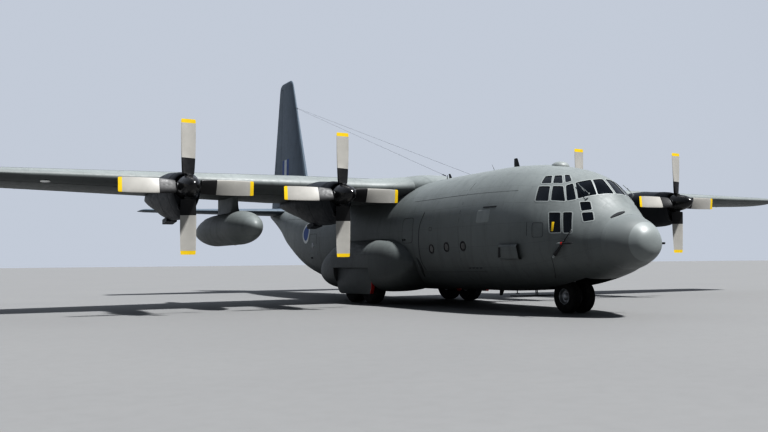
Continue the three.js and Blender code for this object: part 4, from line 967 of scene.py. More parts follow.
def make_ramp():
    """The cargo ramp, thinner towards its back, with grip ribs in two lanes."""
    half, back, (station, height) = RAMP["half"], RAMP["back"], RAMP["hinge"]
    lean, thick = 0.115, 0.3
    slant = (height - 0.2) * math.tan(math.radians(27))
    aft_bottom = hull_row(back)[2]
    outline = (
        (station + slant, 0.2), (station, height), (station, RAMP["top"]), (back - lean, aft_bottom + thick),
        (back, aft_bottom), (back, 0.2),
    )
    prism = lofted([[at(x, s, z) for s, z in outline] for x in (-half, half)])
    wedge = kept(hull_body(HOLD_END, back + 0.3, 0.12), prism)
    settle("cargo_ramp_panel", lined(smoothed(wedge)), None, "cargo_ramp", stands_for=["cargo_ramp"])
    slope = (aft_bottom + thick - RAMP["top"]) / (back - lean - station)
    ribs = []
    for along in span_of(0.25, back - lean - station - 0.2, 11):
        place, rise = station + along, RAMP["top"] + slope * along
        for lane in (-0.72, 0.72):
            ribs.append(block((lane - 0.52, place, rise - 0.02), (lane + 0.52, place + 0.04, rise + 0.022)))
    settle("ramp_grip_ribs", rounded(joined(ribs), 0.006), "deck", "cargo_ramp")
    tube = rounded(joined(hinge_tube(RAMP, 0.036, 0.064)), 0.004)
    settle("ramp_hinge_tube", tube, "steel", "cargo_ramp")


def make_rear_door():
    """The door over the ramp, with pockets between its ribs and arms to its hinge."""
    front, back, half, (station, height) = (REAR_DOOR[word] for word in ("front", "back", "tube_half", "hinge"))
    panel = cut(hull_body(front - 0.3, back + 0.5, 0.1), hull_body(front - 0.4, back + 0.6, 0.1, raised=0.13))
    panel = kept(panel, rear_door_plan(0.0))
    panel = kept(panel, block((-2.5, front - 0.5, 0.9), (2.5, back + 0.8, 2.9)))
    cells = []
    for i, along in enumerate(span_of(front + 0.1, back - 0.45, 5)):
        narrow = 1 - 0.14 * i / 5
        for lane in (-0.9, -0.3, 0.3, 0.9):
            cells.append(block((lane * narrow - 0.25, along, 0.9), (lane * narrow + 0.25, along + 0.3, 3.0)))
    pockets = kept(hull_body(front, back, 0.1, raised=0.05), joined(cells))
    panel = lined(smoothed(cut(panel, pockets)))
    settle("rear_door_panel", panel, None, "rear_cargo_door", stands_for=["rear_cargo_door"])
    arms = hinge_tube(REAR_DOOR, 0.034, 0.06)
    for place in span_of(-half + 0.1, half - 0.1, 4):
        arms.append(block((place - 0.06, back - 0.06, height - 0.14), (place + 0.06, station, height + 0.01)))
    settle("rear_door_hinge_arms", rounded(joined(arms), 0.006), "steel", "rear_cargo_door")


# Wings and tail surfaces, their sections given by a function of the span
Section = namedtuple("Section", "leading chord height slope thickness upper place")
WING_JOINT = 5.59
WING_INCIDENCE = math.sin(math.radians(3))
DIHEDRAL = math.tan(math.radians(0.6))
TRAILING_HALF = 0.009
FLAP_FRACTION = 0.76
TAIL_FRACTION = 0.7
FLAPS = {"inner": (2.33, 5.45), "outer": (5.73, 12.13)}
FLAP_DROP = {"inner": 0.5, "outer": 0.38}
FLAP_RANGE = math.radians(36)
AILERON = (12.39, 19.48)
ELEVATOR = (0.72, 7.68)
RUDDER = (4.72, 11.33)
TAILPLANE_HEIGHT = 4.33
TAILPLANE_END = 8.025
FIN_BASE = 4.3
FIN_TOP = 11.66
CONTROL_END_GAP = 0.02
FLAP_END_GAP = 0.044
HINGE_PIN = (0.022, 0.046)
FLAP_ROLLER = (0.026, 0.04)
BORE_ROOM = 0.006
SEAM_STRIP = ((-0.008, -0.006), (-0.008, 0.003), (0.008, 0.003), (0.008, -0.006))
FILLET = {"start": 1.25, "end": 2.95, "reach": 0.5, "thicker": 0.14, "tuck": 0.008}


def wing_at(span):
    share = max(0, span - WING_JOINT) / (HALF_SPAN - WING_JOINT)
    chord = 4.88 + share * (2.5 - 4.88)
    height = 4.25 + max(0, span - WING_JOINT) * DIHEDRAL + chord / 4 * WING_INCIDENCE
    thickness = 0.878 + share * (0.3 - 0.878)
    leading = 12.26 - chord / 4
    return Section(leading, chord, height, WING_INCIDENCE, thickness, 1.12, lambda s, z: at(span, s, z))


def tailplane_at(span):
    share = span / TAILPLANE_END
    leading = 25.35 + share * 1.3
    return Section(leading, 28.78 - 0.63 * share - leading, 0, 0, 0.412 - 0.262 * share, 1,
                   lambda s, z: at(span, s, TAILPLANE_HEIGHT + z))


def fin_at(span):
    share = (span - FIN_BASE) / (FIN_TOP - FIN_BASE)
    leading = 23.68 + share * 2.65
    chord = 29.79 - 1.6 * share - leading
    return Section(leading, chord, 0, 0, 0.61 - 0.42 * share, 1, lambda s, x: at(x, s, span))


def aerofoil(f):
    """A section's half thickness at a fraction of the chord, for a thickness of a fifth."""
    return 0.2969 * math.sqrt(f) - 0.126 * f - 0.3516 * f**2 + 0.2843 * f**3 - 0.1036 * f**4


def half_thickness(section, f):
    return max(TRAILING_HALF, 5 * section.thickness * aerofoil(f))


def mean_height(section, f):
    return section.height - section.slope * section.chord * f


def top_of(section, f):
    return mean_height(section, f) + section.upper * half_thickness(section, f)


def underside_of(section, f):
    return mean_height(section, f) - (2 - section.upper) * half_thickness(section, f)


def station_of(section, f):
    return section.leading + f * section.chord


def section_ring(section, thin=1.0, shrink=1.0, count=26):
    """The outline of a surface, which can be thinned and drawn in towards its middle for a rounded tip."""
    ring = []
    for i in range(2 * count):
        f = (1 + math.cos(math.pi * i / count)) / 2
        upper = i <= count
        offset = (section.upper if upper else 2 - section.upper) * thin * half_thickness(section, f)
        height = mean_height(section, f) + (offset if upper else -offset)
        ring.append(section.place(section.leading + section.chord * (0.45 + (f - 0.45) * shrink), height))
    return ring


def surface(section_at, spans, tip=0.0):
    """A wing or tail surface. A tip of some length is drawn in on a quarter of an ellipse."""
    rings = [section_ring(section_at(span)) for span in spans]
    for step in range(1, 9 if tip else 0):
        turn = math.pi / 2 * step / 8.4
        near = math.cos(turn)
        rings.append(section_ring(section_at(spans[-1] + tip * math.sin(turn)), near, 0.62 + 0.38 * near))
    return lofted(rings)


def hinge_at(section_at, span, fraction):
    """The section at a span with the station, height and radius of a control's nose."""
    section = section_at(span)
    half = half_thickness(section, fraction)
    centre = mean_height(section, fraction) + (section.upper - 1) * half
    return section, station_of(section, fraction), centre, half


def nose_arc(section, station, centre, radius, steps):
    """The half circle round a control's nose."""
    turns = [math.pi / 2 + math.pi * i / steps for i in range(steps + 1)]
    return [section.place(station + radius * math.cos(turn), centre + radius * math.sin(turn)) for turn in turns]


def control_ring(section_at, span, fraction):
    section, station, centre, radius = hinge_at(section_at, span, fraction)
    aft = [fraction + (1 - fraction) * share for share in (0.2, 0.4, 0.6, 0.8, 1.0)]
    low = [section.place(station_of(section, f), underside_of(section, f)) for f in aft]
    high = [section.place(station_of(section, f), top_of(section, f)) for f in reversed(aft)]
    return [*nose_arc(section, station, centre, radius, 10), *low, *high]


def control_room(section_at, spans, fraction, end_gap):
    """The room round a control: hollow ahead of its nose and open behind it."""
    far = 0.9
    rings = []
    for span in (spans[0] - end_gap, spans[1] + end_gap):
        section, station, centre, radius = hinge_at(section_at, span, fraction)
        back = section.leading + section.chord + far
        near = station + 0.02
        above = [section.place(back, centre + far), section.place(near, centre + far)]
        below = [section.place(near, centre - far), section.place(back, centre - far)]
        rings.append([*above, *nose_arc(section, station, centre, radius + RUNNING_GAP, 12), *below])
    return lofted(rings)


def hinge_line(section_at, spans, fraction):
    ends = []
    for span in spans:
        section, station, centre, _ = hinge_at(section_at, span, fraction)
        ends.append(section.place(station, centre))
    return ends


def beyond(line, end, distance):
    """A point past an end of a line, by a distance of the real aircraft."""
    along = (line[1] - line[0]).normalized() * scaled(distance)
    return line[1] + along if end else line[0] - along


def control(section_at, spans, fraction, count=18, pin=HINGE_PIN, end_gap=CONTROL_END_GAP, root=-0.2):
    """A hinged surface with a pin at each end."""
    skin = lofted([control_ring(section_at, span, fraction) for span in span_of(*spans, count)])
    line = hinge_line(section_at, spans, fraction)
    radius, depth = pin
    pins = [bar(beyond(line, end, root), beyond(line, end, end_gap + depth), radius) for end in (0, 1)]
    return smoothed(joined([skin, *pins]), 30)


def pin_bore(section_at, spans, fraction):
    """The holes for a control's pins, with room round them and past their ends."""
    line = hinge_line(section_at, spans, fraction)
    radius, depth = HINGE_PIN
    reach = CONTROL_END_GAP + depth + 2 * BORE_ROOM
    return bar(beyond(line, 0, reach), beyond(line, 1, reach), radius + BORE_ROOM)


def flap_track(part, end, steps=14):
    """The curved track that a flap's roller runs in, as a cutter for the ribs beside it."""
    line = hinge_line(wing_at, FLAPS[part], FLAP_FRACTION)
    pivots = [point - shift(0, 0, FLAP_DROP[part]) for point in line]
    axis = (pivots[1] - pivots[0]).normalized()
    radius, depth = FLAP_ROLLER
    room = scaled(radius + BORE_ROOM)
    rings = []
    for distance in (-0.06, FLAP_END_GAP + depth + 2 * BORE_ROOM):
        roller = beyond(line, end, distance)
        centre = pivots[0] + axis * (roller - pivots[0]).dot(axis)
        arm = roller - centre
        past = 1.1 * room / arm.length
        ways = [Matrix.Rotation(-t, 3, axis) @ arm.normalized() for t in span_of(-past, FLAP_RANGE + past, steps)]
        outer = [centre + way * (arm.length + room) for way in ways]
        inner = [centre + way * (arm.length - room) for way in reversed(ways)]
        rings.append([*outer, *inner])
    return lofted(rings)


def flap_rooms(part):
    """The cutters that make room for a flap and its two rollers."""
    room = control_room(wing_at, FLAPS[part], FLAP_FRACTION, FLAP_END_GAP)
    return [room, flap_track(part, 0), flap_track(part, 1)]


def make_wings():
    """The wing in its three parts, with its flaps, ailerons and trim tabs."""
    centre = cut(surface(wing_at, [0, *span_of(1.2, WING_JOINT - 0.002, 6)]), *flap_rooms("inner"))
    whole = smoothed(joined([centre, mirrored(centre)]), 30)
    settle("wing_centre_skin", whole, "plan", stands_for=["wing_centre"])

    tip = 0.55
    wing = cut(
        surface(wing_at, [WING_JOINT + 0.002, *span_of(6.4, HALF_SPAN - tip, 14)], tip),
        *flap_rooms("outer"),
        control_room(wing_at, AILERON, FLAP_FRACTION, CONTROL_END_GAP),
        pin_bore(wing_at, AILERON, FLAP_FRACTION),
    )
    on_both_sides("wing_{}_skin", smoothed(wing, 30), "plan", node="wing_{}")

    for part, spans in FLAPS.items():
        piece = control(wing_at, spans, FLAP_FRACTION, 16, FLAP_ROLLER, FLAP_END_GAP, -0.1)
        name = f"flap_{part}_{{}}"
        on_both_sides(name + "_skin", piece, "plan", name, node=name)
    aileron = control(wing_at, AILERON, FLAP_FRACTION)
    on_both_sides("aileron_{}_skin", aileron, "plan", "aileron_{}", node="aileron_{}")

    plate = ((0.95, -0.004), (0.995, -0.004), (0.995, 0.004), (0.95, 0.008))
    rings = []
    for section in (wing_at(12.9), wing_at(14.3)):
        rings.append([section.place(station_of(section, f), top_of(section, f) + lift) for f, lift in plate])
    on_both_sides("aileron_tab_{}", rounded(lofted(rings), 0.003), "side", "aileron_{}")


WING_FAIRING_ROWS = (
    # station, half width, top, middle
    (9.9, 0.6, 4.6, 4.35),
    (10.3, 0.95, 4.69, 4.32),
    (10.8, 1.35, 4.8, 4.28),
    (11.4, 1.6, 4.9, 4.24),
    (12.4, 1.7, 4.93, 4.22),
    (13.6, 1.68, 4.87, 4.22),
    (14.8, 1.6, 4.77, 4.22),
    (15.8, 1.4, 4.68, 4.26),
    (16.6, 1.0, 4.63, 4.32),
    (17.3, 0.6, 4.6, 4.36),
)


def fillet_ring(span, side):
    """The front of the wing's section near the fuselage, which reaches further forward towards it."""
    section = wing_at(span)
    flare = (1 - (span - FILLET["start"]) / (FILLET["end"] - FILLET["start"])) ** 2
    fuller = section._replace(
        leading=section.leading - FILLET["reach"] * flare,
        chord=section.chord + FILLET["reach"] * flare,
        thickness=section.thickness + FILLET["thicker"] * flare - FILLET["tuck"],
        place=lambda station, height: at(side * span, station, height),
    )
    return section_ring(fuller)[15:38]


def make_wing_root():
    """The smooth fairing that carries the wing on the fuselage, and the fillets that lead the wing's nose into it."""
    curve = curve_through(WING_FAIRING_ROWS)
    rings = []
    for station in span_of(9.9, 17.3, 44):
        half, top, middle = curve(station)
        outline = power_ring(half, middle, top - middle, 0.5, 2.4, 1.6, 72)
        rings.append([at(x, station, height) for x, height in outline])
    room = control_room(wing_at, (FLAPS["inner"][0] - FLAP_END_GAP, FLAPS["inner"][1]), FLAP_FRACTION, 0.02)
    fairing = cut(lofted(rings), room, mirrored(room))
    settle("wing_root_fairing", smoothed(fairing), "hull")

    spans = span_of(FILLET["start"], FILLET["end"], 16)
    fillets = [lofted([fillet_ring(span, side) for span in spans]) for side, _ in SIDES]
    settle("wing_root_fillets", smoothed(joined(fillets), 40), "plan")


def make_fin():
    """The fin, its rudder and tab, and the long low fin ahead of it, which rises on a smooth curve."""
    tip = 0.3
    fin = cut(
        surface(fin_at, [FIN_BASE, *span_of(5.2, FIN_TOP - tip, 10)], tip),
        control_room(fin_at, RUDDER, TAIL_FRACTION, CONTROL_END_GAP),
        pin_bore(fin_at, RUDDER, TAIL_FRACTION),
    )
    settle("fin_skin", smoothed(fin, 30), "tail", stands_for=["fin"])
    rudder = control(fin_at, RUDDER, TAIL_FRACTION)
    settle("rudder_skin", rudder, "tail", "rudder", ["rudder"])

    plate = ((0.94, -0.004), (0.995, -0.004), (0.995, 0.004), (0.94, 0.008))
    tabs = []
    for side in (1, -1):
        rings = []
        for span in (5.1, 7.4):
            section = fin_at(span)
            ring = [(side * (half_thickness(section, f) + lift), station_of(section, f)) for f, lift in plate]
            rings.append([at(x, station, span) for x, station in ring])
        tabs.append(lofted(rings))
    settle("rudder_trim_tab", rounded(joined(tabs), 0.003), "tail", "rudder")

    curve = curve_through((
        (20.6, 4.56, 0.012), (22.0, 4.78, 0.04), (23.0, 5.08, 0.06), (23.8, 5.6, 0.085), (24.48, 6.3, 0.11),
        (25.6, 6.9, 0.13),
    ))
    rings = []
    for station in span_of(20.6, 25.4, 40):
        top, half = curve(station)
        base = hull_row(station)[1] - 0.18
        ring = []
        for turn in span_of(0, math.pi, 24):
            share, level = math.sin(turn), math.cos(turn)
            across = half * math.copysign(abs(level) ** 0.55, level) * (1.7 - 0.7 * share)
            ring.append(at(across, station, base + (top - base) * share))
        rings.append(ring)
    settle("dorsal_fin_skin", smoothed(lofted(rings), 40), "tail")


def make_tailplane():
    tip = 0.35
    side = cut(
        surface(tailplane_at, [0, *span_of(0.6, TAILPLANE_END - tip, 12)], tip),
        control_room(tailplane_at, ELEVATOR, TAIL_FRACTION, CONTROL_END_GAP),
        pin_bore(tailplane_at, ELEVATOR, TAIL_FRACTION),
    )
    whole = smoothed(joined([side, mirrored(side)]), 30)
    settle("tailplane_skin", whole, "tail_plan", stands_for=["tailplane"])
    elevator = control(tailplane_at, ELEVATOR, TAIL_FRACTION)
    on_both_sides("elevator_{}_skin", elevator, "tail_plan", "elevator_{}", "elevator_{}")


# Engines, propellers and underwing tanks. Heights of a nacelle are from its propeller's centre.
ENGINES = (("inner", 5.005, 3.8), ("outer", 10.133, 3.9))
PROP_STATION = 8.75
PROP_RADIUS = 2.057
SPINNER_TIP = 7.96
SPINNER_END = 8.92
SPINNER_RADIUS = 0.35
CUFF_END = 0.87
TIP_START = PROP_RADIUS - 0.115
BLADE_ROWS = (
    # radius, chord, thickness, pitch in degrees, share of the section that is a blade's
    (0.28, 0.17, 0.17, 34, 0),
    (0.368, 0.17, 0.17, 34, 0),
    (0.38, 0.44, 0.15, 28, 0.5),
    (0.45, 0.46, 0.14, 25, 0.7),
    (0.87, 0.475, 0.085, 17, 1),
    (1.0, 0.48, 0.07, 15, 1),
    (1.5, 0.475, 0.046, 9, 1),
    (1.94, 0.455, 0.028, 5, 1),
    (PROP_RADIUS, 0.44, 0.018, 4, 1),
)
NACELLE_ROWS = (
    # station, half width, top, bottom
    (8.936, 0.42, 0.41, -0.8),
    (9.15, 0.48, 0.47, -0.9),
    (9.8, 0.52, 0.53, -0.95),
    (10.7, 0.54, 0.6, -0.93),
    (11.5, 0.53, 0.6, -0.82),
    (12.5, 0.47, 0.42, -0.58),
    (13.5, 0.35, 0.26, -0.36),
    (14.15, 0.23, 0.18, -0.18),
)
NACELLE_MIDDLE = -0.06
# gearbox, flanged casings and turbine from front to back, then the bore for the propeller's shaft
ENGINE_PROFILE = (
    (9.14, 0.075), (9.14, 0.19), (9.36, 0.22), (9.38, 0.26), (9.42, 0.26), (9.44, 0.23), (9.9, 0.24), (9.92, 0.29),
    (9.97, 0.29), (9.99, 0.25), (10.85, 0.27), (10.87, 0.32), (10.92, 0.32), (10.94, 0.28), (11.7, 0.25),
    (11.72, 0.3), (11.76, 0.3), (11.78, 0.26), (12.3, 0.22), (12.32, 0.0), (9.34, 0.0), (9.34, 0.075), (9.14, 0.075),
)
INTAKE = (0.25, -0.6, 0.11, 0.145)
EXHAUST = (0.19, -0.03, 0.13, 0.13)
TANK = {"x": 7.6, "height": 2.8, "radius": 0.58, "front": 9.9, "back": 17.6, "nose": 1.8, "tail": 3.3}


def blade_ring(row):
    radius, chord, thickness, pitch, share = row
    c, s = math.cos(math.radians(pitch)), math.sin(math.radians(pitch))
    ring = []
    for turn in circle(40):
        f = (1 - math.cos(turn)) / 2
        fuller = 1.25 if turn < math.pi else -0.75
        u = chord * (f - 0.5)
        v = thickness * (0.5 * math.sin(turn) * (1 - share) + fuller * 5 * aerofoil(f) * share)
        ring.append(shift(u * c - v * s, u * s + v * c, radius))
    return ring


def propeller_blade():
    """One blade, upright over the origin: its cuff, its paddle and its painted tip are marked by radius."""
    curve = curve_through(BLADE_ROWS)
    radii = [0.28, 0.33, 0.36, 0.368, 0.374, 0.38, 0.39, *span_of(0.42, CUFF_END, 8)]
    radii += [*span_of(CUFF_END, TIP_START, 16)[1:], *span_of(TIP_START, 2.03, 3)[1:]]
    rings = [blade_ring((radius, *curve(radius))) for radius in radii]
    for radius, narrow in ((2.047, 0.975), (2.057, 0.93)):
        chord, thickness, pitch, share = curve(radius)
        rings.append(blade_ring((radius, chord * narrow, thickness * narrow, pitch, share)))
    blade = coated(smoothed(lofted(rings), 50), "blade", "cuff", "yellow")
    for face in blade.data.polygons:
        radius = face.center.z / SCALE
        face.material_index = 1 if radius < CUFF_END else 2 if radius > TIP_START else 0
    return blade


def four_round(piece, centre):
    """Four copies of a piece that stands over the origin, a quarter turn apart about a propeller's centre."""
    made = [quarter_turns(copied(piece), i, centre) for i in range(4)]
    bpy.data.objects.remove(piece)
    return joined(made)


def propeller_at(name, x, height):
    """Four blades, their root rings and a domed spinner."""
    centre = at(x, PROP_STATION, height)
    settle(name + "_blades", smoothed(four_round(propeller_blade(), centre), 50), None, name, [name])

    end, seam, radius = SPINNER_END - PROP_STATION, 0.06, SPINNER_RADIUS
    nose = [(station - PROP_STATION, r) for station, r in dome(SPINNER_TIP, SPINNER_END - SPINNER_TIP, radius, 24)]
    profile = [
        (SPINNER_TIP - PROP_STATION, 0.0),
        *[point for point in nose if point[0] < end - seam - 0.01],
        (end - seam - 0.006, radius - 0.002), (end - seam - 0.004, radius - 0.01),
        (end - seam + 0.004, radius - 0.01), (end - seam + 0.006, radius),
        (end - 0.004, radius), (end, radius - 0.006), (end, 0.07), (end + 0.3, 0.052), (end + 0.3, 0.0),
    ]
    settle(name + "_spinner", smoothed(turned(profile, "y", centre, 64), 40), "black", name)
    steps = ((0.3, 0.0), (0.3, 0.125), (0.356, 0.125), (0.366, 0.115), (0.366, 0.0))
    collars = four_round(turned(steps, "z", Vector(), 32), centre)
    settle(name + "_root_collars", smoothed(collars), "dark", name)


nacelle_curve = curve_through(NACELLE_ROWS)


def nacelle_ring(x, height, station, inset=0.0):
    half, top, bottom = nacelle_curve(station)
    up, down = top - NACELLE_MIDDLE - inset, NACELLE_MIDDLE - bottom - inset
    outline = power_ring(half - inset, NACELLE_MIDDLE, up, down, 2.35, 1.65, 80)
    return [at(x + across, station, height + rise) for across, rise in outline]


def duct(x, height, shape, steps):
    """A duct or a plug through rounded rings of one shape, each (station, how much larger)."""
    half, middle, up, down = shape
    rings = []
    for station, grow in steps:
        outline = power_ring(half + grow, middle, up + grow, down + grow, 2.4, 2.2, 48)
        rings.append([at(x + across, station, height + rise) for across, rise in outline])
    return lofted(rings)


def cowling_details(x, height):
    """Raised straps at the joints of the cowling's panels, an oil cooler flap and a small scoop on each side."""
    made = []
    for station in (9.42, 10.55, 11.75):
        steps = ((-0.022, -0.004), (-0.02, 0.004), (0.02, 0.004), (0.022, -0.004))
        rings = [nacelle_ring(x, height, station + along, -lift) for along, lift in steps]
        made.append(lofted([*rings, rings[0]], caps=False))
    cooler = block((x - 0.17, 10.9, height - 0.95), (x + 0.17, 11.5, height - 0.8))
    with editing(cooler, lambda middle, normal: normal.y > 0.9):
        bpy.ops.transform.translate(value=shift(0, 0, -0.07))
    made.append(cooler)
    for side in (-1, 1):
        rings = []
        for station, reach in ((9.95, 0.07), (10.05, 0.085), (10.35, 0.01)):
            outline = ((-0.02, -0.06), (reach, -0.045), (reach, 0.045), (-0.02, 0.06))
            rings.append([at(x + side * (0.49 + out), station, height + 0.1 + up) for out, up in outline])
        made.append(pressed(lofted(rings), lambda middle, normal: normal.y < -0.9, 0.012, (0, 0.05, 0)))
    return smoothed(joined(made))


def nacelle_at(part, x, height):
    """The cowling with its front plate, oil cooler intake, exhaust pipe and details."""
    name = f"nacelle_{part}_{{}}"
    start, end = NACELLE_ROWS[0][0], NACELLE_ROWS[-1][0]
    outer = [nacelle_ring(x, height, start + 0.004, 0.012)]
    outer += [nacelle_ring(x, height, station) for station in span_of(start + 0.02, end - 0.01, 46)]
    outer += [nacelle_ring(x, height, end, 0.012)]
    inner = [nacelle_ring(x, height, station, 0.035) for station in reversed(span_of(start + 0.02, end - 0.02, 12))]
    shell = smoothed(lofted([*outer, *inner, outer[0]], caps=False))
    on_both_sides(name + "_skin", shell, "nacelle", node=name)

    plate = cut(
        lofted([nacelle_ring(x, height, station, 0.02) for station in (8.985, 9.03)]),
        bar(at(x, 8.9, height), at(x, 9.1, height), SPINNER_RADIUS + 0.012, 64),
        duct(x, height, INTAKE, ((8.9, 0.012), (9.1, 0.012))),
    )
    on_both_sides(name + "_front_plate", smoothed(plate), "nacelle")

    steps = ((9.62, 0.02), (9.0, 0.02), (8.955, 0.018), (8.94, 0.009), (8.95, 0.0), (9.05, -0.006), (9.56, -0.03))
    on_both_sides(name + "_intake_duct", smoothed(duct(x, height, INTAKE, steps)), "dark")
    steps = ((13.5, 0.0), (14.1, 0.0), (14.25, -0.01), (14.262, -0.016), (14.25, -0.022), (13.6, -0.022))
    on_both_sides(name + "_exhaust_pipe", smoothed(duct(x, height, EXHAUST, steps)), "exhaust")
    on_both_sides(name + "_straps_and_scoops", cowling_details(x, height), "nacelle")


def tank_profile(steps=22):
    radius, front, back = TANK["radius"], TANK["front"], TANK["back"]
    profile = [(front, 0.0), *dome(front, TANK["nose"], radius, steps)]
    for seam in (12.6, 13.4):
        profile += [(seam, radius), (seam + 0.006, radius - 0.005), (seam + 0.016, radius - 0.005)]
        profile.append((seam + 0.022, radius))
    for i in range(steps):
        share = i / steps
        profile.append((back - TANK["tail"] * (1 - share), radius * (1 - share**1.8)))
    return [*profile, (back, 0.0)]


def pylon(x, height):
    """The thin upright that carries a tank, flared where it meets the tank's back."""
    front, length, thick = 12, 2.32, 0.11
    outline = []
    for share in span_of(0, 1, 32):
        narrow = 1 - 0.85 * max(0, share - 0.12) / 0.88
        outline.append((share, thick * min(1, math.sqrt(share / 0.12)) * narrow))
    outline += [(share, -half) for share, half in reversed(outline[1:-1])]
    rings = []
    for rise, grow in ((0.5, 0.09), (0.6, 0.05), (0.7, 0.02), (0.85, 0.0), (1.25, 0.0)):
        ring = []
        for share, half in outline:
            across = half + math.copysign(grow, half) * (abs(half) / thick)
            ring.append(at(x + across, front - grow + share * (length + 2 * grow), height + rise))
        rings.append(ring)
    return smoothed(lofted(rings))


def make_tanks():
    x, height = TANK["x"], TANK["height"]
    profile = tank_profile()
    body = smoothed(turned([(station - 12, radius) for station, radius in profile], "y", at(x, 12, height), 72))
    tank = smoothed(joined([body, pylon(x, height)]))
    on_both_sides("underwing_tank_{}_skin", tank, "side", node="underwing_tank_{}")
    caps = []
    for place, turn in ((11.9, 0.55), (15.0, 0.55), (12.2, math.pi - 0.1)):
        out = Vector((math.sin(turn), 0, math.cos(turn)))
        centre = at(x, place, height) + out * scaled(next(radius for station, radius in profile if station >= place))
        caps.append(bar(centre - out * 0.004, centre + out * 0.003, 0.09, 32))
    on_both_sides("tank_caps_{}", rounded(joined(caps), 0.003), "pale")


def make_engines():
    profile = [(station - PROP_STATION, radius) for station, radius in ENGINE_PROFILE]
    for part, x, height in ENGINES:
        nacelle_at(part, x, height)
        casing = smoothed(turned(profile, "y", at(x, PROP_STATION, height), 40), 30)
        name = f"engine_{part}_{{}}"
        on_both_sides(name + "_casing", casing, "engine", node=name)
        for side, word in SIDES:
            propeller_at(f"propeller_{part}_{word}", side * x, height)


# Landing gear
FAIRING_ROWS = (
    # station, outer x, top, bottom
    (9.24, 2.12, 1.68, 1.38),
    (9.4, 2.33, 1.92, 1.08),
    (9.9, 2.58, 2.24, 0.72),
    (10.7, 2.74, 2.44, 0.52),
    (11.8, 2.8, 2.48, 0.46),
    (14.6, 2.8, 2.48, 0.46),
    (15.8, 2.68, 2.16, 0.52),
    (16.7, 2.44, 1.72, 0.76),
    (17.15, 2.18, 1.38, 0.98),
)
FAIRING_CENTRE = 1.5
MAIN_AXLES = (("front", 12.24), ("rear", 13.77))
MAIN_TRACK = 2.17
MAIN_TYRE = {"radius": 0.71, "half": 0.255, "rim": 0.33}
STRUT_X = 1.805
NOSE_AXLE = 3.23
NOSE_TYRE = {"radius": 0.495, "half": 0.165, "rim": 0.235}
NOSE_WHEEL_X = 0.262
NOSE_DOOR = {"half": 0.52, "front": 4.3, "back": 5.76, "drop": 0.19, "link_x": 0.395}
WELL_OPEN_BELOW = 1.37
TYRE_WALL = (
    (0.72, 0.0), (0.84, 0.03), (0.97, 0.2), (1.0, 0.4), (0.98, 0.58), (0.9, 0.77), (0.76, 0.9), (0.62, 0.965),
)


def tyre_profile(size, grooves):
    """A tyre's closed outline of (across, radius), from bead to bead, with grooves in its tread."""
    radius, half, rim = size["radius"], size["half"], size["rim"]
    wall = curved([(half * across, rim + (radius - rim) * up) for across, up in TYRE_WALL])
    tread = []
    for i in range(grooves):
        place = half * 0.58 * (1 - 2 * (i + 0.5) / grooves)
        crown = radius - 0.012 * (place / half) ** 2 - 0.004
        for across, drop in ((0.009, 0), (0.007, 0.014), (-0.007, 0.014), (-0.009, 0)):
            tread.append((place + across, crown - drop))
    return [*wall, *tread, *[(-across, up) for across, up in reversed(wall)], wall[0]]


def hub_profile(size, bore, dish):
    """A wheel's closed outline, with flanged rims and a dished middle on its outer side."""
    half, rim = size["half"], size["rim"] - 0.002
    shares = (
        (-0.6, 0.5), (-0.66, 0.9), (-0.74, 0.92), (-0.74, 1), (0.74, 1), (0.76, 0.985),
        (0.74, 0.93), (0.55, 0.9), (dish, 0.8), (dish - 0.08, 0.5), (0.5, 0.42), (0.58, 0.36),
    )
    start = (-half * 0.6, bore)
    return [start, *[(half * across, rim * up) for across, up in shares], (half * 0.58, bore), start]


def bolts(centre, side, across, reach, count, radius=0.014):
    """A circle of bolt heads on a wheel's outer face."""
    out = shift(side * 0.012, 0, 0)
    places = [around(centre, "x", side * across, reach, turn) for turn in circle(count)]
    return [bar(place - out, place + out, radius, 6) for place in places]


def make_fairings():
    """The long blisters over the main wheels, with the wheels' well open below and at the side."""
    curve = curve_through(FAIRING_ROWS)
    rings = []
    for station in (*span_of(9.24, 10.4, 26), *span_of(10.4, 15.4, 24)[1:], *span_of(15.4, 17.15, 24)[1:]):
        outer, top, bottom = curve(station)
        middle = (top + bottom) / 2
        outline = power_ring(outer - FAIRING_CENTRE, middle, top - middle, middle - bottom, 2.86, 2.86, 96)
        rings.append([at(FAIRING_CENTRE + x, station, height) for x, height in outline])
    fairing = cut(lofted(rings), hull_body(8.5, 17.54, 0.3))
    inner, outer, front, back, top = (WHEEL_WELL[word] for word in ("inner", "outer", "front", "back", "top"))
    liner = block((inner - SKIN, front - SKIN, 0.7), (2.4, back + SKIN, top + SKIN))
    fairing = cut(fairing, liner, operation="UNION")
    well = block((inner, front, 0.2), (outer, back, top))
    fairing = cut(fairing, well, block((inner, front, 0.2), (3.0, back, WELL_OPEN_BELOW)))
    on_both_sides("gear_fairing_{}_skin", smoothed(fairing), "hull", node="gear_fairing_{}")


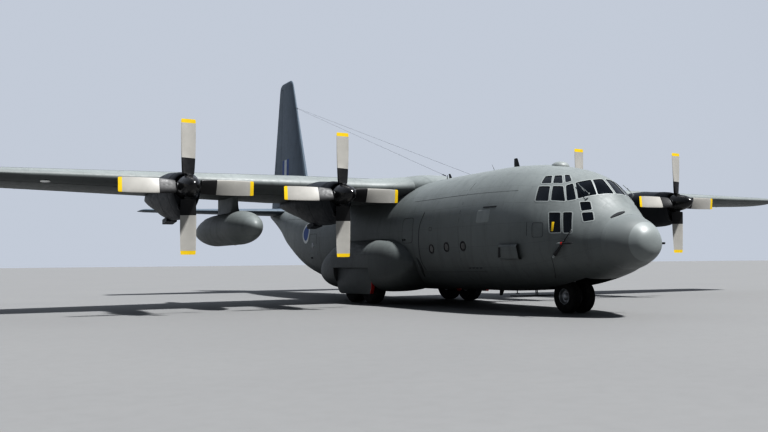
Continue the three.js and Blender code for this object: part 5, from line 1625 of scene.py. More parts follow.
def make_main_wheel(place, station):
    centre = at(MAIN_TRACK, station, MAIN_TYRE["radius"])
    wheel, tyre = f"main_wheel_{place}_{{}}", f"main_tyre_{place}_{{}}"
    rubber_ring = smoothed(turned(tyre_profile(MAIN_TYRE, 5), "x", centre, 96), 28)
    on_both_sides(tyre + "_rubber", rubber_ring, "tyre", wheel, tyre)
    hub = turned(hub_profile(MAIN_TYRE, 0.062, 0.1), "x", centre, 72)
    on_both_sides(wheel + "_hub", rounded(hub, 0.004), "wheel", wheel, wheel)
    heads = bolts(centre, 1, MAIN_TYRE["half"] * 0.12, 0.215, 10)
    on_both_sides(wheel + "_bolts", rounded(joined(heads), 0.002), "steel", wheel)
    # dark discs on the hub's face, painted shade in the place of its holes
    spots = [around(centre, "x", MAIN_TYRE["half"] * 0.1, 0.14, turn) for turn in circle(8, 0.5)]
    hole_shade_discs = [bar(spot, spot + shift(0.012, 0, 0), 0.026, 20) for spot in spots]
    on_both_sides(wheel + "_holes", smoothed(joined(hole_shade_discs)), "dark", wheel)


def make_main_gear():
    """Wheels, and legs with their cylinders, axles, brakes, braces, beam and pipes."""
    legs, pistons = [], []
    axle = MAIN_TYRE["radius"]
    for place, station in MAIN_AXLES:
        make_main_wheel(place, station)
        legs += [
            post(STRUT_X, station, 1.02, 1.757, 0.078),
            post(STRUT_X, station, 0.99, 1.05, 0.09),
            post(STRUT_X, station, 1.64, 1.7, 0.095),
            post(STRUT_X, station, 0.63, 0.78, 0.085),
            crossbar(STRUT_X, 2.338, station, axle, 0.055, 40),
            crossbar(2.325, 2.35, station, axle, 0.05, 6),
            crossbar(1.9, 1.985, station, axle, 0.2, 48),
        ]
        pistons.append(post(STRUT_X, station, 0.74, 1.0, 0.058))
        for side in (-1, 1):
            foot, top = at(STRUT_X, station + side * 0.1, 0.86), at(STRUT_X, station + side * 0.24, 1.52)
            legs.append(bar(foot, top, 0.024, 20))
        hose = station + 0.05
        legs.append(bar(at(STRUT_X + 0.09, hose, 0.75), at(STRUT_X + 0.07, hose, 1.31), 0.012, 12))
    front, rear = (station for _, station in MAIN_AXLES)
    legs.append(block((STRUT_X - 0.05, front - 0.06, 1.5), (STRUT_X + 0.05, rear + 0.06, 1.62)))
    legs.append(bar(at(STRUT_X + 0.07, front, 1.3), at(STRUT_X + 0.07, rear, 1.3), 0.014, 16))
    frame = rounded(joined(legs), 0.006)
    on_both_sides("main_gear_legs_{}_frame", frame, "steel", node="main_gear_legs_{}")
    on_both_sides("main_gear_pistons_{}", smoothed(joined(pistons)), "chrome")


def make_main_doors():
    """The door beside the wheels, with stiffeners, a painted front edge and a lamp on its front corner."""
    outer = WHEEL_WELL["outer"] - 0.001
    inner = outer - 0.034
    name = "main_gear_door_{}"
    outline = (
        (11.59, 0.38), (14.16, 0.35), (14.36, 0.41), (14.5, 0.55), (14.57, 0.8), (14.57, 1.47), (11.48, 1.47),
        (11.48, 0.6),
    )
    plate = lofted([[at(x, s, z) for s, z in outline] for x in (inner, outer)])
    on_both_sides(name + "_panel", rounded(plate, 0.008), "side", node=name)
    ribs = [block((inner - 0.03, s, 0.5), (inner + 0.004, s + 0.05, 1.42)) for s in span_of(11.8, 14.3, 6)]
    ribs.append(block((inner - 0.03, 11.6, 0.86), (inner + 0.004, 14.45, 0.92)))
    on_both_sides(name + "_ribs", rounded(joined(ribs), 0.006), "side")
    outline = ((11.572, 0.4), (11.6, 0.42), (11.498, 0.61), (11.498, 1.42), (11.47, 1.42), (11.47, 0.6))
    edge = lofted([[at(x, s, z) for s, z in outline] for x in (inner - 0.1, outer + 0.004)])
    on_both_sides(name + "_edge", rounded(edge, 0.004), "red")
    centre = at(outer - 0.06, 11.48, 0.96)
    on_both_sides(name + "_lamp", rounded(bar(centre, centre + shift(0, -0.03, 0), 0.055, 32), 0.01), "clear")


def make_nose_wheels():
    radius, half = NOSE_TYRE["radius"], NOSE_TYRE["half"]
    tyres, hubs, heads = [], [], []
    for side, _ in SIDES:
        centre = at(side * NOSE_WHEEL_X, NOSE_AXLE, radius)
        tyres.append(turned(tyre_profile(NOSE_TYRE, 4), "x", centre, 80))
        profile = [(side * across, up) for across, up in hub_profile(NOSE_TYRE, 0.03, 0.2)]
        hubs.append(turned(profile, "x", centre, 64))
        cap = centre + shift(side * half * 0.45, 0, 0)
        hubs.append(bar(cap, cap + shift(side * 0.035, 0, 0), 0.07, 32))
        heads += bolts(centre, side, half * 0.2, 0.15, 8, 0.011)
    hubs.append(crossbar(-NOSE_WHEEL_X, NOSE_WHEEL_X, NOSE_AXLE, radius, 0.038, 32))
    settle("nose_tyres", smoothed(joined(tyres), 28), "tyre", "nose_wheels", ["nose_wheels"])
    settle("nose_hubs", rounded(joined(hubs), 0.003), "wheel", "nose_wheels")
    settle("nose_hub_bolts", rounded(joined(heads), 0.002), "steel", "nose_wheels")


def make_nose_fork():
    """What steers: the axle's boss, the torque links, the collars and the bright piston."""
    boss = (
        (-0.08, 0.045), (-0.08, 0.07), (-0.07, 0.078), (0.07, 0.078), (0.08, 0.07), (0.08, 0.045), (-0.08, 0.045),
    )
    fork = [
        turned(boss, "x", at(0, NOSE_AXLE, NOSE_TYRE["radius"]), 40),
        block((-0.042, NOSE_AXLE + 0.055, 0.645), (0.042, NOSE_AXLE + 0.19, 0.695)),
        block((-0.045, NOSE_AXLE - 0.19, 0.635), (0.045, NOSE_AXLE - 0.05, 0.735)),
        post(0, NOSE_AXLE, 0.6, 0.76, 0.082),
        post(0, NOSE_AXLE, 1.0, 1.062, 0.1),
        crossbar(-0.05, 0.05, NOSE_AXLE + 0.24, 0.86, 0.022, 20),
    ]
    for x in (-0.03, 0.03):
        knee = at(x, NOSE_AXLE + 0.24, 0.86)
        fork.append(bar(at(x, NOSE_AXLE + 0.15, 0.67), knee, 0.018, 20))
        fork.append(bar(knee, at(x, NOSE_AXLE + 0.08, 1.03), 0.018, 20))
    fork = rounded(joined(fork), 0.005)
    settle("nose_fork_frame", fork, "steel", "nose_fork", ["nose_gear_fork"])
    piston = smoothed(post(0, NOSE_AXLE, 0.58, 1.4, 0.058, 48))
    settle("nose_piston", piston, "chrome", "nose_fork")


def make_nose_leg():
    """The fixed cylinder on its trunnion, with a brace ahead and a stay on each side."""
    cylinder = (
        (1.08, 0.067), (1.08, 0.095), (1.1, 0.102), (1.14, 0.102), (1.16, 0.094), (1.69, 0.094), (1.69, 0.0),
        (1.425, 0.0), (1.425, 0.067), (1.08, 0.067),
    )
    half = NOSE_WELL["half"] - 0.001
    leg = [
        turned(cylinder, "z", at(0, NOSE_AXLE, 0), 48),
        crossbar(-half, half, NOSE_AXLE, 1.5, 0.055, 32),
        bar(at(0, NOSE_AXLE - 0.04, 1.3), at(0, NOSE_WELL["front"] + 0.12, 1.6), 0.035, 24),
    ]
    for side in (-1, 1):
        leg.append(bar(at(side * 0.07, NOSE_AXLE, 1.25), at(side * 0.42, NOSE_AXLE, 1.5), 0.022, 20))
        leg.append(block((side * 0.56, NOSE_AXLE - 0.08, 1.42), (side * 0.63, NOSE_AXLE + 0.08, 1.58)))
    leg = rounded(joined(leg), 0.005)
    settle("nose_leg_frame", leg, "steel", stands_for=["nose_gear_leg"])


def make_nose_door():
    """The curved plate that hangs on four links behind the nose wheels."""
    half, front, back, drop, x = (NOSE_DOOR[word] for word in ("half", "front", "back", "drop", "link_x"))
    panel = hull_body(front - 0.3, back + 0.3, 0.1, raised=-drop)
    panel = cut(panel, hull_body(front - 0.4, back + 0.4, 0.1, raised=-drop + 0.03))
    panel = kept(panel, block((-half, front, 0), (half, back, 0.75)))
    settle("nose_gear_door_panel", rounded(panel, 0.006), "hull", stands_for=["nose_gear_door"])
    links = []
    for side in (-x, x):
        for station in (front + 0.25, back - 0.25):
            links.append(bar(at(side, station, 0.52), at(side, station + 0.03, 0.86), 0.018, 20))
            links.append(block((side - 0.03, station - 0.06, 0.505), (side + 0.03, station + 0.06, 0.535)))
    settle("nose_door_links", rounded(joined(links), 0.004), "steel")


# Details laid on the fuselage, wings and tail
ROUND_WINDOWS = ((5.95, 2.04), (6.94, 2.03), (7.91, 1.99))
WINDOW_SIZE = (0.13, 0.13)
AIR_BOX = {"front": 3.2, "back": 4.08, "low": 1.62, "high": 2.04, "proud": 0.13}
ROUNDEL = (19.3, 2.92)
ROUNDEL_RADIUS = 0.46
FIN_FLASH = (26.95, 6.82)


def flat_ring(half_x, half_y, power, out):
    """A rounded outline made flat, X aft, Y up and Z out of the skin."""
    outline = power_ring(half_x, 0, half_y, half_y, power, power, 64)
    return [shift(x, y, out) for x, y in outline]


def patch(side, place, size, power=2.0, proud=0.004):
    """A closed patch that follows the fuselage's side: a disc, or a rounded rectangle at a high power."""
    half_x, half_y = size
    rings = [flat_ring(half_x, half_y, power, -0.01), flat_ring(half_x, half_y, power, proud * 0.4)]
    for share in (0.97, 0.8, 0.6, 0.4, 0.2, 0.03):
        rings.append(flat_ring(half_x * share, half_y * share, power, proud))
    return onto_hull(lofted(rings), side, *place)


def outlined(side, place, size, line, power=2.0, proud=0.003):
    """A closed raised outline that follows the fuselage's side."""
    steps = ((0, -0.01), (0, proud), (line * 0.5, proud * 1.3), (line, proud), (line, -0.01))
    rings = [flat_ring(size[0] + grow, size[1] + grow, power, out) for grow, out in steps]
    return onto_hull(lofted([*rings, rings[0]], caps=False), side, *place)


def strip(side, points, width, proud=0.003):
    """A narrow strip along a smooth line of (station, height) points on the fuselage's side."""
    line = curved(points)
    rings = []
    for i, (station, height) in enumerate(line):
        before, after = line[max(0, i - 1)], line[min(len(line) - 1, i + 1)]
        along = Vector((after[0] - before[0], after[1] - before[1])).normalized()
        across = Vector((-along.y, along.x)) * width / 2
        rings.append([
            hull_point(side, station + across.x * sign, height + across.y * sign, out)
            for sign, out in ((-1, -0.006), (-1, proud), (1, proud), (1, -0.006))
        ])
    return smoothed(lofted(rings))


def on_hull_sides(name, make, finish, degrees=32):
    """The same detail on both sides of the fuselage."""
    for side, word in SIDES:
        settle(f"{name}_{word}", smoothed(joined(make(side)), degrees), finish)


def make_side_details():
    """Round windows, hatch and door outlines, seams, patches and handles."""
    on_hull_sides("round_window_panes", lambda side: [
        patch(side, place, WINDOW_SIZE) for place in ROUND_WINDOWS
    ], "window")
    on_hull_sides("round_window_rims", lambda side: [
        outlined(side, place, WINDOW_SIZE, 0.03, proud=0.012) for place in ROUND_WINDOWS
    ], "dark")
    on_hull_sides("hatch_and_door_seams", lambda side: [
        # escape hatch, paratroop door, battery bay and service panel
        outlined(side, (9.56, 2.67), (0.37, 0.43), 0.016, 7.0),
        outlined(side, (18.35, 1.95), (0.48, 0.9), 0.016, 9.0),
        outlined(side, (2.55, 2.42), (0.16, 0.2), 0.01, 8.0),
        outlined(side, (7.95, 2.66), (0.07, 0.05), 0.012, 8.0),
        # nose, the two joints of the shells, cheek, belly, roof and rear
        strip(side, [(2.9, 2.26), (2.9, 2.66)], 0.012),
        strip(side, [(COCKPIT_JOINT, height) for height in (0.95, 2.0, 3.0, 4.1)], 0.01),
        strip(side, [(HOLD_END, height) for height in (1.3, 2.0, 3.0, 4.1)], 0.01),
        strip(side, [(2.22, 1.66), (2.26, 1.45), (2.4, 1.22), (2.61, 1.06)], 0.016),
        strip(side, [(5.0, 1.25), (7.0, 1.22), (9.0, 1.22)], 0.008),
        strip(side, [(3.6, 3.62), (6.0, 3.7), (9.6, 3.7)], 0.008),
        strip(side, [(17.6, 3.6), (20.0, 3.62), (23.0, 3.75)], 0.008),
    ], "seam")
    on_hull_sides("side_wear_strip", lambda side: [
        strip(side, [(8.52, 3.27), (8.7, 2.8), (8.74, 2.49), (8.77, 1.56), (8.67, 1.28)], 0.045),
    ], "seam")
    on_hull_sides("pale_patches", lambda side: [patch(side, (4.88, 2.93), (0.33, 0.2), 9.0, 0.003)], "pale")
    on_hull_sides("grab_handles", lambda side: [
        outlined(side, (9.79, 2.35), (0.07, 0.02), 0.016, 4.0, 0.02),
        outlined(side, (18.6, 1.8), (0.07, 0.02), 0.016, 4.0, 0.02),
        strip(side, [(4.29, 3.19), (4.93, 3.2)], 0.03, 0.02),
        *[patch(side, (5.25 + 0.2 * i, 1.35), (0.06, 0.012), 3.0, 0.012) for i in range(4)],
    ], "dark")
    on_hull_sides("paratroop_door_panes", lambda side: [
        patch(side, (18.35, 2.35), WINDOW_SIZE),
    ], "window")


def make_air_box():
    """A box on the starboard side behind the nose, open at its front, with painted shade on the faces inside its
    mouth and dark slabs near its front and its back as the painted shade of slots.
    """
    front, back, low, high, proud = (AIR_BOX[word] for word in ("front", "back", "low", "high", "proud"))
    rings = []
    for station, lift in ((front, proud), (front + 0.45, proud), (back - 0.14, proud * 0.85), (back, 0.0)):
        outline = (
            (low, -0.02), (high, -0.02), (high, lift * 0.7), (high - 0.05, lift), (low + 0.05, lift),
            (low, lift * 0.7),
        )
        rings.append([hull_point(-1, station, height, out) for height, out in outline])
    box = pressed(lofted(rings), lambda middle, normal: normal.y < -0.8, 0.014, (0, 0.25, 0))
    coated(rounded(box, 0.006), "side", "dark")
    # painted shade: the faces inside the mouth take the dark finish
    mouth = at(0, front + 0.02, 0).y
    for face in box.data.polygons:
        face.material_index = 1 if face.center.y > mouth and face.normal.y < -0.8 else 0
    settle("air_box_right", box, None)
    # dark slabs laid on the box as the painted shade of slots
    slot_shades = []
    for place, lift in ((front + 0.05, proud - 0.012), (back - 0.2, proud * 0.9)):
        outline = ((0, lift - 0.05), (0, lift + 0.006), (0.08, lift + 0.006), (0.08, lift - 0.05))
        slot_shades.append(lofted([
            [hull_point(-1, place + lean + along, height, out) for along, out in outline]
            for height, lean in ((low + 0.07, 0.1), (high - 0.07, 0))
        ]))
    settle("air_box_slots_right", rounded(joined(slot_shades), 0.004), "dark")


def crescent(side, station, top, drop, outline):
    """A bowed strip down the fuselage's side, its outline given for each share of the bow."""
    rings = []
    for share in span_of(0, 1, 24):
        bow = math.sin(math.pi * share)
        place, height = station - 0.12 * bow + 0.06 * share, top - drop * share
        rings.append([hull_point(side, place + along, height, out) for along, out in outline(bow)])
    return smoothed(lofted(rings), 40)


def intake_lip(bow):
    wide, lift = 0.015 + 0.17 * bow, 0.035 + 0.02 * bow
    return (0, -0.01), (0.012, lift), (0.03, lift), (wide, 0.006), (wide, -0.01)


# the outline of a thin dark strip on the skin, painted shade in the place of an intake's opening
def intake_mouth(bow):
    edge = -0.012 - 0.05 * bow
    return (edge, -0.01), (edge, 0.004), (0.03, 0.004), (0.03, -0.01)


def make_intakes():
    """Crescent air intakes just ahead of the landing gear fairings: a raised lip, and a thin dark strip on the skin
    at its front edge as the painted shade of the opening.
    """
    for side, word in SIDES:
        settle("intake_lip_" + word, crescent(side, 9.0, 1.72, 0.66, intake_lip), "hull")
        settle("intake_mouth_" + word, crescent(side, 8.985, 1.68, 0.58, intake_mouth), "dark")


def roof_at(station, x=0.0):
    half, top, _, widest, upper, _ = hull_row(station)
    return widest + (top - widest) * (1 - (abs(x) / half) ** upper) ** (1 / upper)


def blade_antenna(station, height, tall, chord, lean):
    """A swept blade antenna that stands on the skin, or hangs from it where tall is below zero."""
    rings = []
    for share, narrow in ((-0.1, 1.15), (0.0, 1.0), (0.5, 0.82), (0.93, 0.62), (1.0, 0.5)):
        middle = station + lean * abs(tall) * share
        ring = []
        for turn in circle(24):
            c, s = math.cos(turn), math.sin(turn)
            across = 0.09 * chord * narrow * s * (1 if c < 0 else 0.6 + 0.4 * abs(s))
            ring.append(at(across, middle + chord / 2 * narrow * c, height + tall * share))
        rings.append(ring)
    return smoothed(lofted(rings), 40)


def low_dome(station, long, wide, tall):
    rings = []
    for i in range(13):
        lift, narrow = math.sin(math.pi / 2 * i / 12), math.cos(math.pi / 2 * i / 12.4)
        height = roof_at(station) - 0.05 + (tall + 0.05) * lift
        rings.append([
            at(wide * narrow * math.cos(turn), station + long * narrow * math.sin(turn), height)
            for turn in circle(36)
        ])
    return lofted(rings)


def make_antennas():
    """Blades, a whip, low domes, and two taut wires with strainers from the fin to the fuselage's top."""
    blades = [
        blade_antenna(station, roof_at(station), tall, chord, lean)
        for station, tall, chord, lean in ((5.94, 0.3, 0.3, 0.2), (10.05, 0.2, 0.2, 0.5), (18.6, 0.26, 0.3, 0.4))
    ]
    blades += [blade_antenna(station, hull_row(station)[2] + 0.01, -0.2, 0.26, 0.4) for station in (6.9, 8.3)]
    settle("blade_antennas", smoothed(joined(blades), 40), "dark")

    x, station = 0.35, 7.63
    base = roof_at(station, x)
    steps = ((-0.02, 0.0), (-0.02, 0.05), (0.02, 0.045), (0.05, 0.02), (0.05, 0.0))
    whip = [
        bar(at(x, station, base - 0.02), at(x, station + 0.25, 4.95), 0.012, 16, 0.4),
        turned(steps, "z", at(x, station, base), 24),
    ]
    settle("whip_antenna", smoothed(joined(whip)), "dark")
    domes = [low_dome(3.75, 0.28, 0.28, 0.12), low_dome(20.6, 0.55, 0.16, 0.09)]
    settle("antenna_domes", smoothed(joined(domes), 40), "pale")

    wires = []
    for side, _ in SIDES:
        back, front = at(side * 0.03, 25.98, 10.05), at(side * 0.7, 9.2, 4.62)
        wires.append(bar(back, front, 0.0035, 8))
        along = (front - back).normalized()
        for end, way in ((back, along), (front, -along)):
            wires.append(bar(end + way * scaled(0.1), end + way * scaled(0.32), 0.016, 12))
        wires.append(bar(at(side * 0.7, 9.2, 4.4), at(side * 0.7, 9.16, 4.66), 0.014, 16, 0.7))
    settle("wire_antennas", smoothed(joined(wires)), "dark")


def on_windscreen(side, share_x, share_y, lift):
    """A point over an outer windscreen by its shares across and up."""
    outer_top, inner_top, inner_low, outer_low = (Vector(c) for c in WINDOWS["windscreen_outer"])
    point = outer_low.lerp(inner_low, share_x).lerp(outer_top.lerp(inner_top, share_x), share_y)
    out = (inner_low - outer_low).cross(outer_top - outer_low).normalized()
    if out.dot(point - INSIDE_COCKPIT) < 0:
        out.negate()
    point += out * lift
    return at(-side * point.x, point.y, point.z)


def make_wipers():
    wipers = []
    for side, _ in SIDES:
        for a, b, radius, sides in (
            ((0.55, -0.08, 0.05), (0.2, 0.5, 0.075), 0.008, 12),
            ((0.36, 0.1, 0.06), (0.08, 0.78, 0.06), 0.009, 12),
            ((0.55, -0.08, -0.02), (0.55, -0.08, 0.065), 0.022, 20),
        ):
            wipers.append(bar(on_windscreen(side, *a), on_windscreen(side, *b), radius, sides))
    settle("windscreen_wipers", rounded(joined(wipers), 0.002), "pale")


def make_probes(side, word):
    """A pitot mast under the side windows, its head in a cover with a red band, and a sleeved rod."""
    foot, bend = hull_point(side, 1.95, 2.03, -0.02), hull_point(side, 1.9, 2.03, 0.17)

    def ahead(distance):
        return bend + shift(0, -distance, 0)

    mast = [bar(foot, bend, 0.022, 24, 0.8), bar(ahead(-0.06), ahead(0.5), 0.018, 24, 0.8)]
    settle("pitot_mast_" + word, rounded(joined(mast), 0.003), "pale")
    settle("pitot_cover_" + word, rounded(bar(ahead(0.14), ahead(0.55), 0.03), 0.008), "dark")
    settle("pitot_band_" + word, rounded(bar(ahead(0.1), ahead(0.16), 0.034), 0.004), "red")
    low, high = hull_point(side, 2.1, 1.72, 0.06), hull_point(side, 1.62, 2.3, 0.16)
    middle = low.lerp(high, 0.62)
    way = (high - low).normalized()
    sleeve = [bar(low, middle, 0.045, 24, 0.6), bar(middle, high, 0.016, 16, 0.7)]
    settle("probe_sleeve_" + word, rounded(joined(sleeve), 0.008), "dark")
    ends = [bar(low, low - way * scaled(0.09), 0.03, 20), bar(high, high + way * scaled(0.08), 0.014, 16)]
    settle("probe_ends_" + word, rounded(joined(ends), 0.004), "light")


def make_nose_details():
    """Wipers, the yellow strap at the low corner of the aft tall pane, probes, and a dark wedge over the radome as
    the painted shade of a slit.
    """
    make_wipers()
    sides = ((2.16, -0.03), (2.16, 0.0), (2.1, 0.0), (2.1, -0.03))
    ends = [[hull_point(-1, station, height, out) for station, out in sides] for height in (2.37, 2.63)]
    settle("yellow_strap", rounded(lofted(ends), 0.003), "yellow")
    for side, word in SIDES:
        make_probes(side, word)
    # a dark wedge on the skin, painted shade in the place of the slit over the radome
    rings = []
    for share in span_of(0, 1, 16):
        x = -0.62 + 0.5 * share
        station = 0.9 + 0.1 * (share - 0.5) ** 2
        thick = 0.018 + 0.03 * math.sin(math.pi * share)
        front, back, height = station - thick, station + thick, roof_at(station, x)
        rings.append([
            at(x, front, roof_at(front, x) - 0.01), at(x, front, height + 0.004),
            at(x, back, roof_at(back, x) + 0.006), at(x, back, height - 0.02),
        ])
    settle("nose_slit", smoothed(lofted(rings), 50), "dark")


def fin_patch(side, half_x, half_z, proud):
    """A flat marking that follows the side of the fin."""
    middle, level = FIN_FLASH
    raised = [(half_x * share, proud) for share in (-1, -1 / 3, 1 / 3, 1)]
    outline = ((-half_x, -0.01), *raised, (half_x, -0.01))
    rings = []
    for share in (-1, -0.5, 0, 0.5, 1):
        height = level + half_z * share
        section = fin_at(height)
        ring = []
        for along, out in outline:
            f = (middle + along - section.leading) / section.chord
            ring.append(at(side * (half_thickness(section, f) + out), middle + along, height))
        rings.append(ring)
    return lofted(rings)


def make_markings():
    """Plain discs and bars in the place of the national markings."""
    for name, radius, proud, finish in (
        ("marking_disc_border", ROUNDEL_RADIUS, 0.002, "white"),
        ("marking_disc", ROUNDEL_RADIUS * 0.72, 0.004, "blue"),
    ):
        on_hull_sides(name, lambda side: [patch(side, ROUNDEL, (radius, radius), proud=proud)], finish, 50)
    for side, word in SIDES:
        settle("fin_flash_" + word, fin_patch(side, 0.58, 0.46, 0.003), "blue")
        settle("fin_flash_stripe_" + word, fin_patch(side, 0.2, 0.46, 0.005), "white")


def make_beacon(name, place, way, tall, radius=0.1):
    """A red lamp in a dome on a low base, which stands up or hangs down."""
    profile = [(-0.02, 0.0), (-0.02, radius)]
    for i in range(9):
        turn = math.pi / 2 * i / 8.2
        profile.append((tall * math.sin(turn), radius * math.cos(turn)))
    profile.append((tall, 0.0))
    base = ((-0.03, 0.0), (-0.03, radius * 1.25), (0.0, radius * 1.2), (0.004, 0.0))
    settle(name, smoothed(turned([(way * along, r) for along, r in profile], "z", place, 32), 50), "red")
    settle(name + "_base", smoothed(turned([(way * along, r) for along, r in base], "z", place, 32)), "dark")


def make_tip_lamp(side, word):
    rings = []
    for i in range(13):
        span = HALF_SPAN - 0.72 + 0.3 * i / 12
        bow = math.sin(math.pi * i / 12) ** 0.5 if 0 < i < 12 else 0.05
        section = wing_at(span)
        front, height = section.leading + 0.05 * (1 - bow) + 0.06, mean_height(section, 0.02)
        rings.append([
            at(side * span, front - 0.09 * bow * math.cos(turn), height + 0.055 * bow * math.sin(turn))
            for turn in circle(20)
        ])
    settle("wing_tip_lamp_" + word, smoothed(lofted(rings), 50), "red" if side > 0 else "green")


def make_lights():
    """Beacons, wing tip lamps, landing lamps, and thin rods that shed charge from the trailing edges."""
    make_beacon("top_beacon", at(0, 14.2, 4.89), 1, 0.14)
    make_beacon("belly_beacon", at(0, 9.6, hull_row(9.6)[2]), -1, 0.12)
    for side, word in SIDES:
        make_tip_lamp(side, word)
        span = 13.9
        section = wing_at(span)
        profile = ((0.03, 0.0), (0.03, 0.16), (-0.01, 0.15), (-0.02, 0.1), (-0.024, 0.0))
        place = at(side * span, station_of(section, 0.09), underside_of(section, 0.09))
        settle("landing_lamp_" + word, smoothed(turned(profile, "z", place, 36), 50), "clear")
        rods = []
        for span in (14.6, 16.2, 17.8, 18.9):
            section = wing_at(span)
            back, height = section.leading + section.chord, mean_height(section, 1)
            foot, end = at(side * span, back - 0.03, height), at(side * span, back + 0.16, height - 0.012)
            rods.append(bar(foot, end, 0.006, 10, 0.5))
        settle("aileron_discharge_rods_" + word, smoothed(joined(rods)), "dark", "aileron_" + word)


def seam_ring(section, x, f, upper):
    """A seam strip's section on the upper or lower side of a wing."""
    ring = []
    for along, lift in SEAM_STRIP:
        g = f + along / section.chord
        height = top_of(section, g) + lift if upper else underside_of(section, g) - lift
        ring.append(at(x, station_of(section, g), height))
    return ring


def make_wing_details():
    """Fuel caps and spar seams on the wings, and a rib line at each joint of a flap's skin."""
    for side, word in SIDES:
        caps = []
        for span in (3.4, 6.8, 9.0, 12.4, 15.6):
            section = wing_at(span)
            place, height = station_of(section, 0.42), top_of(section, 0.42)
            caps.append(post(side * span, place, height - 0.02, height + 0.006, 0.09, 32))
        settle("wing_fuel_caps_" + word, rounded(joined(caps), 0.002), "pale")
        seams = []
        for f, upper in ((0.12, True), (0.66, True), (0.12, False), (0.66, False)):
            spans = span_of(2.3, 19.3, 24)
            seams.append(lofted([seam_ring(wing_at(span), side * span, f, upper) for span in spans]))
        settle("wing_spar_seams_" + word, smoothed(joined(seams)), "seam")
        for part, (start, end) in FLAPS.items():
            seams = []
            for span in span_of(start + 0.3, end - 0.3, 2 if part == "inner" else 5):
                section = wing_at(span)
                rings = []
                for f in (0.79, 0.84, 0.89, 0.94, 0.98):
                    place, top = station_of(section, f), top_of(section, f)
                    rings.append([at(side * (span + x), place, top + lift) for x, lift in SEAM_STRIP])
                seams.append(lofted(rings))
            name = f"flap_{part}_{word}"
            settle(name + "_seams", smoothed(joined(seams)), "seam", name)


# Flight deck and cargo hold
SEAT_X = 0.56
SEAT_FRONT = 2.42
SEAT_TOP = 2.68
SEAT_BACK_TOP = 3.36
DECK_TOP = 2.2
HOLD_FLOOR = 1.04


def cushion(name, low, high):
    """A stuffed cushion: a block with cut corners, swollen towards the middle of each side and subdivided."""
    pad = block(low, high)
    with editing(pad, part="EDGE"):
        bpy.ops.mesh.bevel(offset=scaled(0.025), segments=2, affect="EDGES")
    with editing(pad):
        bpy.ops.mesh.subdivide(number_cuts=2)
    middle, half = (at(*low) + at(*high)) / 2, (at(*high) - at(*low)) / 2
    for corner in pad.data.vertices:
        share = [(corner.co[i] - middle[i]) / half[i] for i in range(3)]
        for i in range(3):
            swell = math.prod(1 - share[k] ** 2 for k in range(3) if k != i)
            corner.co[i] += math.copysign(half[i], share[i]) * abs(share[i]) * 0.16 * swell
    modify(pad, "SUBSURF", levels=2, render_levels=2)
    settle(name, smoothed(pad, 60), "cloth")


def make_seats():
    """Two seats, each a frame on rails with three cushions."""
    front = SEAT_FRONT
    for side, node in ((1, "pilot_seat"), (-1, "copilot_seat")):
        x = side * SEAT_X
        parts = [
            block((x - 0.24, front + 0.02, SEAT_TOP - 0.14), (x + 0.24, front + 0.5, SEAT_TOP - 0.1)),
            block((x - 0.15, front + 0.1, DECK_TOP + 0.02), (x + 0.15, front + 0.44, SEAT_TOP - 0.13)),
            block((x - 0.2, front + 0.53, SEAT_TOP), (x + 0.2, front + 0.56, 3.3)),
            crossbar(x - 0.23, x + 0.23, front + 0.6, SEAT_BACK_TOP, 0.018, 16),
        ]
        for way in (-1, 1):
            rail, back, arm = x + way * 0.13, x + way * 0.23, x + way * 0.25
            parts += [
                bar(at(rail, front + 0.03, DECK_TOP + 0.02), at(rail, front + 0.58, DECK_TOP + 0.02), 0.02, 16),
                bar(at(back, front + 0.5, SEAT_TOP - 0.12), at(back, front + 0.6, SEAT_BACK_TOP), 0.018, 16),
                block((arm - 0.03, front + 0.12, SEAT_TOP + 0.17), (arm + 0.03, front + 0.5, SEAT_TOP + 0.22)),
                post(arm, front + 0.46, SEAT_TOP - 0.1, SEAT_TOP + 0.18, 0.014, 12),
            ]
        settle(node + "_frame", rounded(joined(parts), 0.008), "dark", stands_for=[node])
        for name, half, start, end, low, high in (
            ("_cushion", 0.22, 0.02, 0.5, SEAT_TOP - 0.1, SEAT_TOP + 0.02),
            ("_back", 0.2, 0.42, 0.53, SEAT_TOP + 0.06, 3.22),
            ("_headrest", 0.13, 0.46, 0.56, 3.24, 3.42),
        ):
            cushion(node + name, (x - half, front + start, low), (x + half, front + end, high))


def make_flight_deck():
    """Instrument screens and dials, the throttle stand, yokes and the overhead panel."""
    screens, rims = [], []
    face = 1.908
    for x in (-0.62, -0.36, -0.12, 0.12, 0.36, 0.62):
        screens.append(block((x - 0.095, face - 0.01, 2.68), (x + 0.095, face + 0.004, 2.88)))
        rims.append(block((x - 0.11, face - 0.012, 2.665), (x + 0.11, face, 2.895)))
    for x in span_of(-0.6, 0.6, 9):
        rims.append(bar(at(x, face - 0.01, 2.58), at(x, face + 0.008, 2.58), 0.04))
    settle("instrument_rims", rounded(joined(rims), 0.003), "dark")
    settle("instrument_screens", smoothed(joined(screens)), "window")
    stand = block((-0.17, 2.0, DECK_TOP + 0.01), (0.17, 2.75, 2.62))
    overhead = block((-0.3, 2.5, 3.86), (0.3, 3.0, 3.92))
    settle("throttle_stand", rounded(joined([stand, overhead]), 0.02), "cabin")
    levers = []
    for x in (-0.09, -0.03, 0.03, 0.09):
        levers.append(bar(at(x, 2.3, 2.6), at(x, 2.22, 2.78), 0.01, 12))
        levers.append(crossbar(x - 0.02, x + 0.02, 2.22, 2.79, 0.024, 16))
    for x in (-SEAT_X, SEAT_X):
        levers.append(bar(at(x, 2.12, DECK_TOP + 0.01), at(x, 2.2, 2.82), 0.025, 20))
        levers.append(crossbar(x - 0.15, x + 0.15, 2.21, 2.86, 0.016, 16))
        for way in (-1, 1):
            levers.append(bar(at(x + way * 0.15, 2.21, 2.83), at(x + way * 0.17, 2.24, 3.0), 0.018, 16))
    settle("levers_and_yokes", rounded(joined(levers), 0.004), "dark")


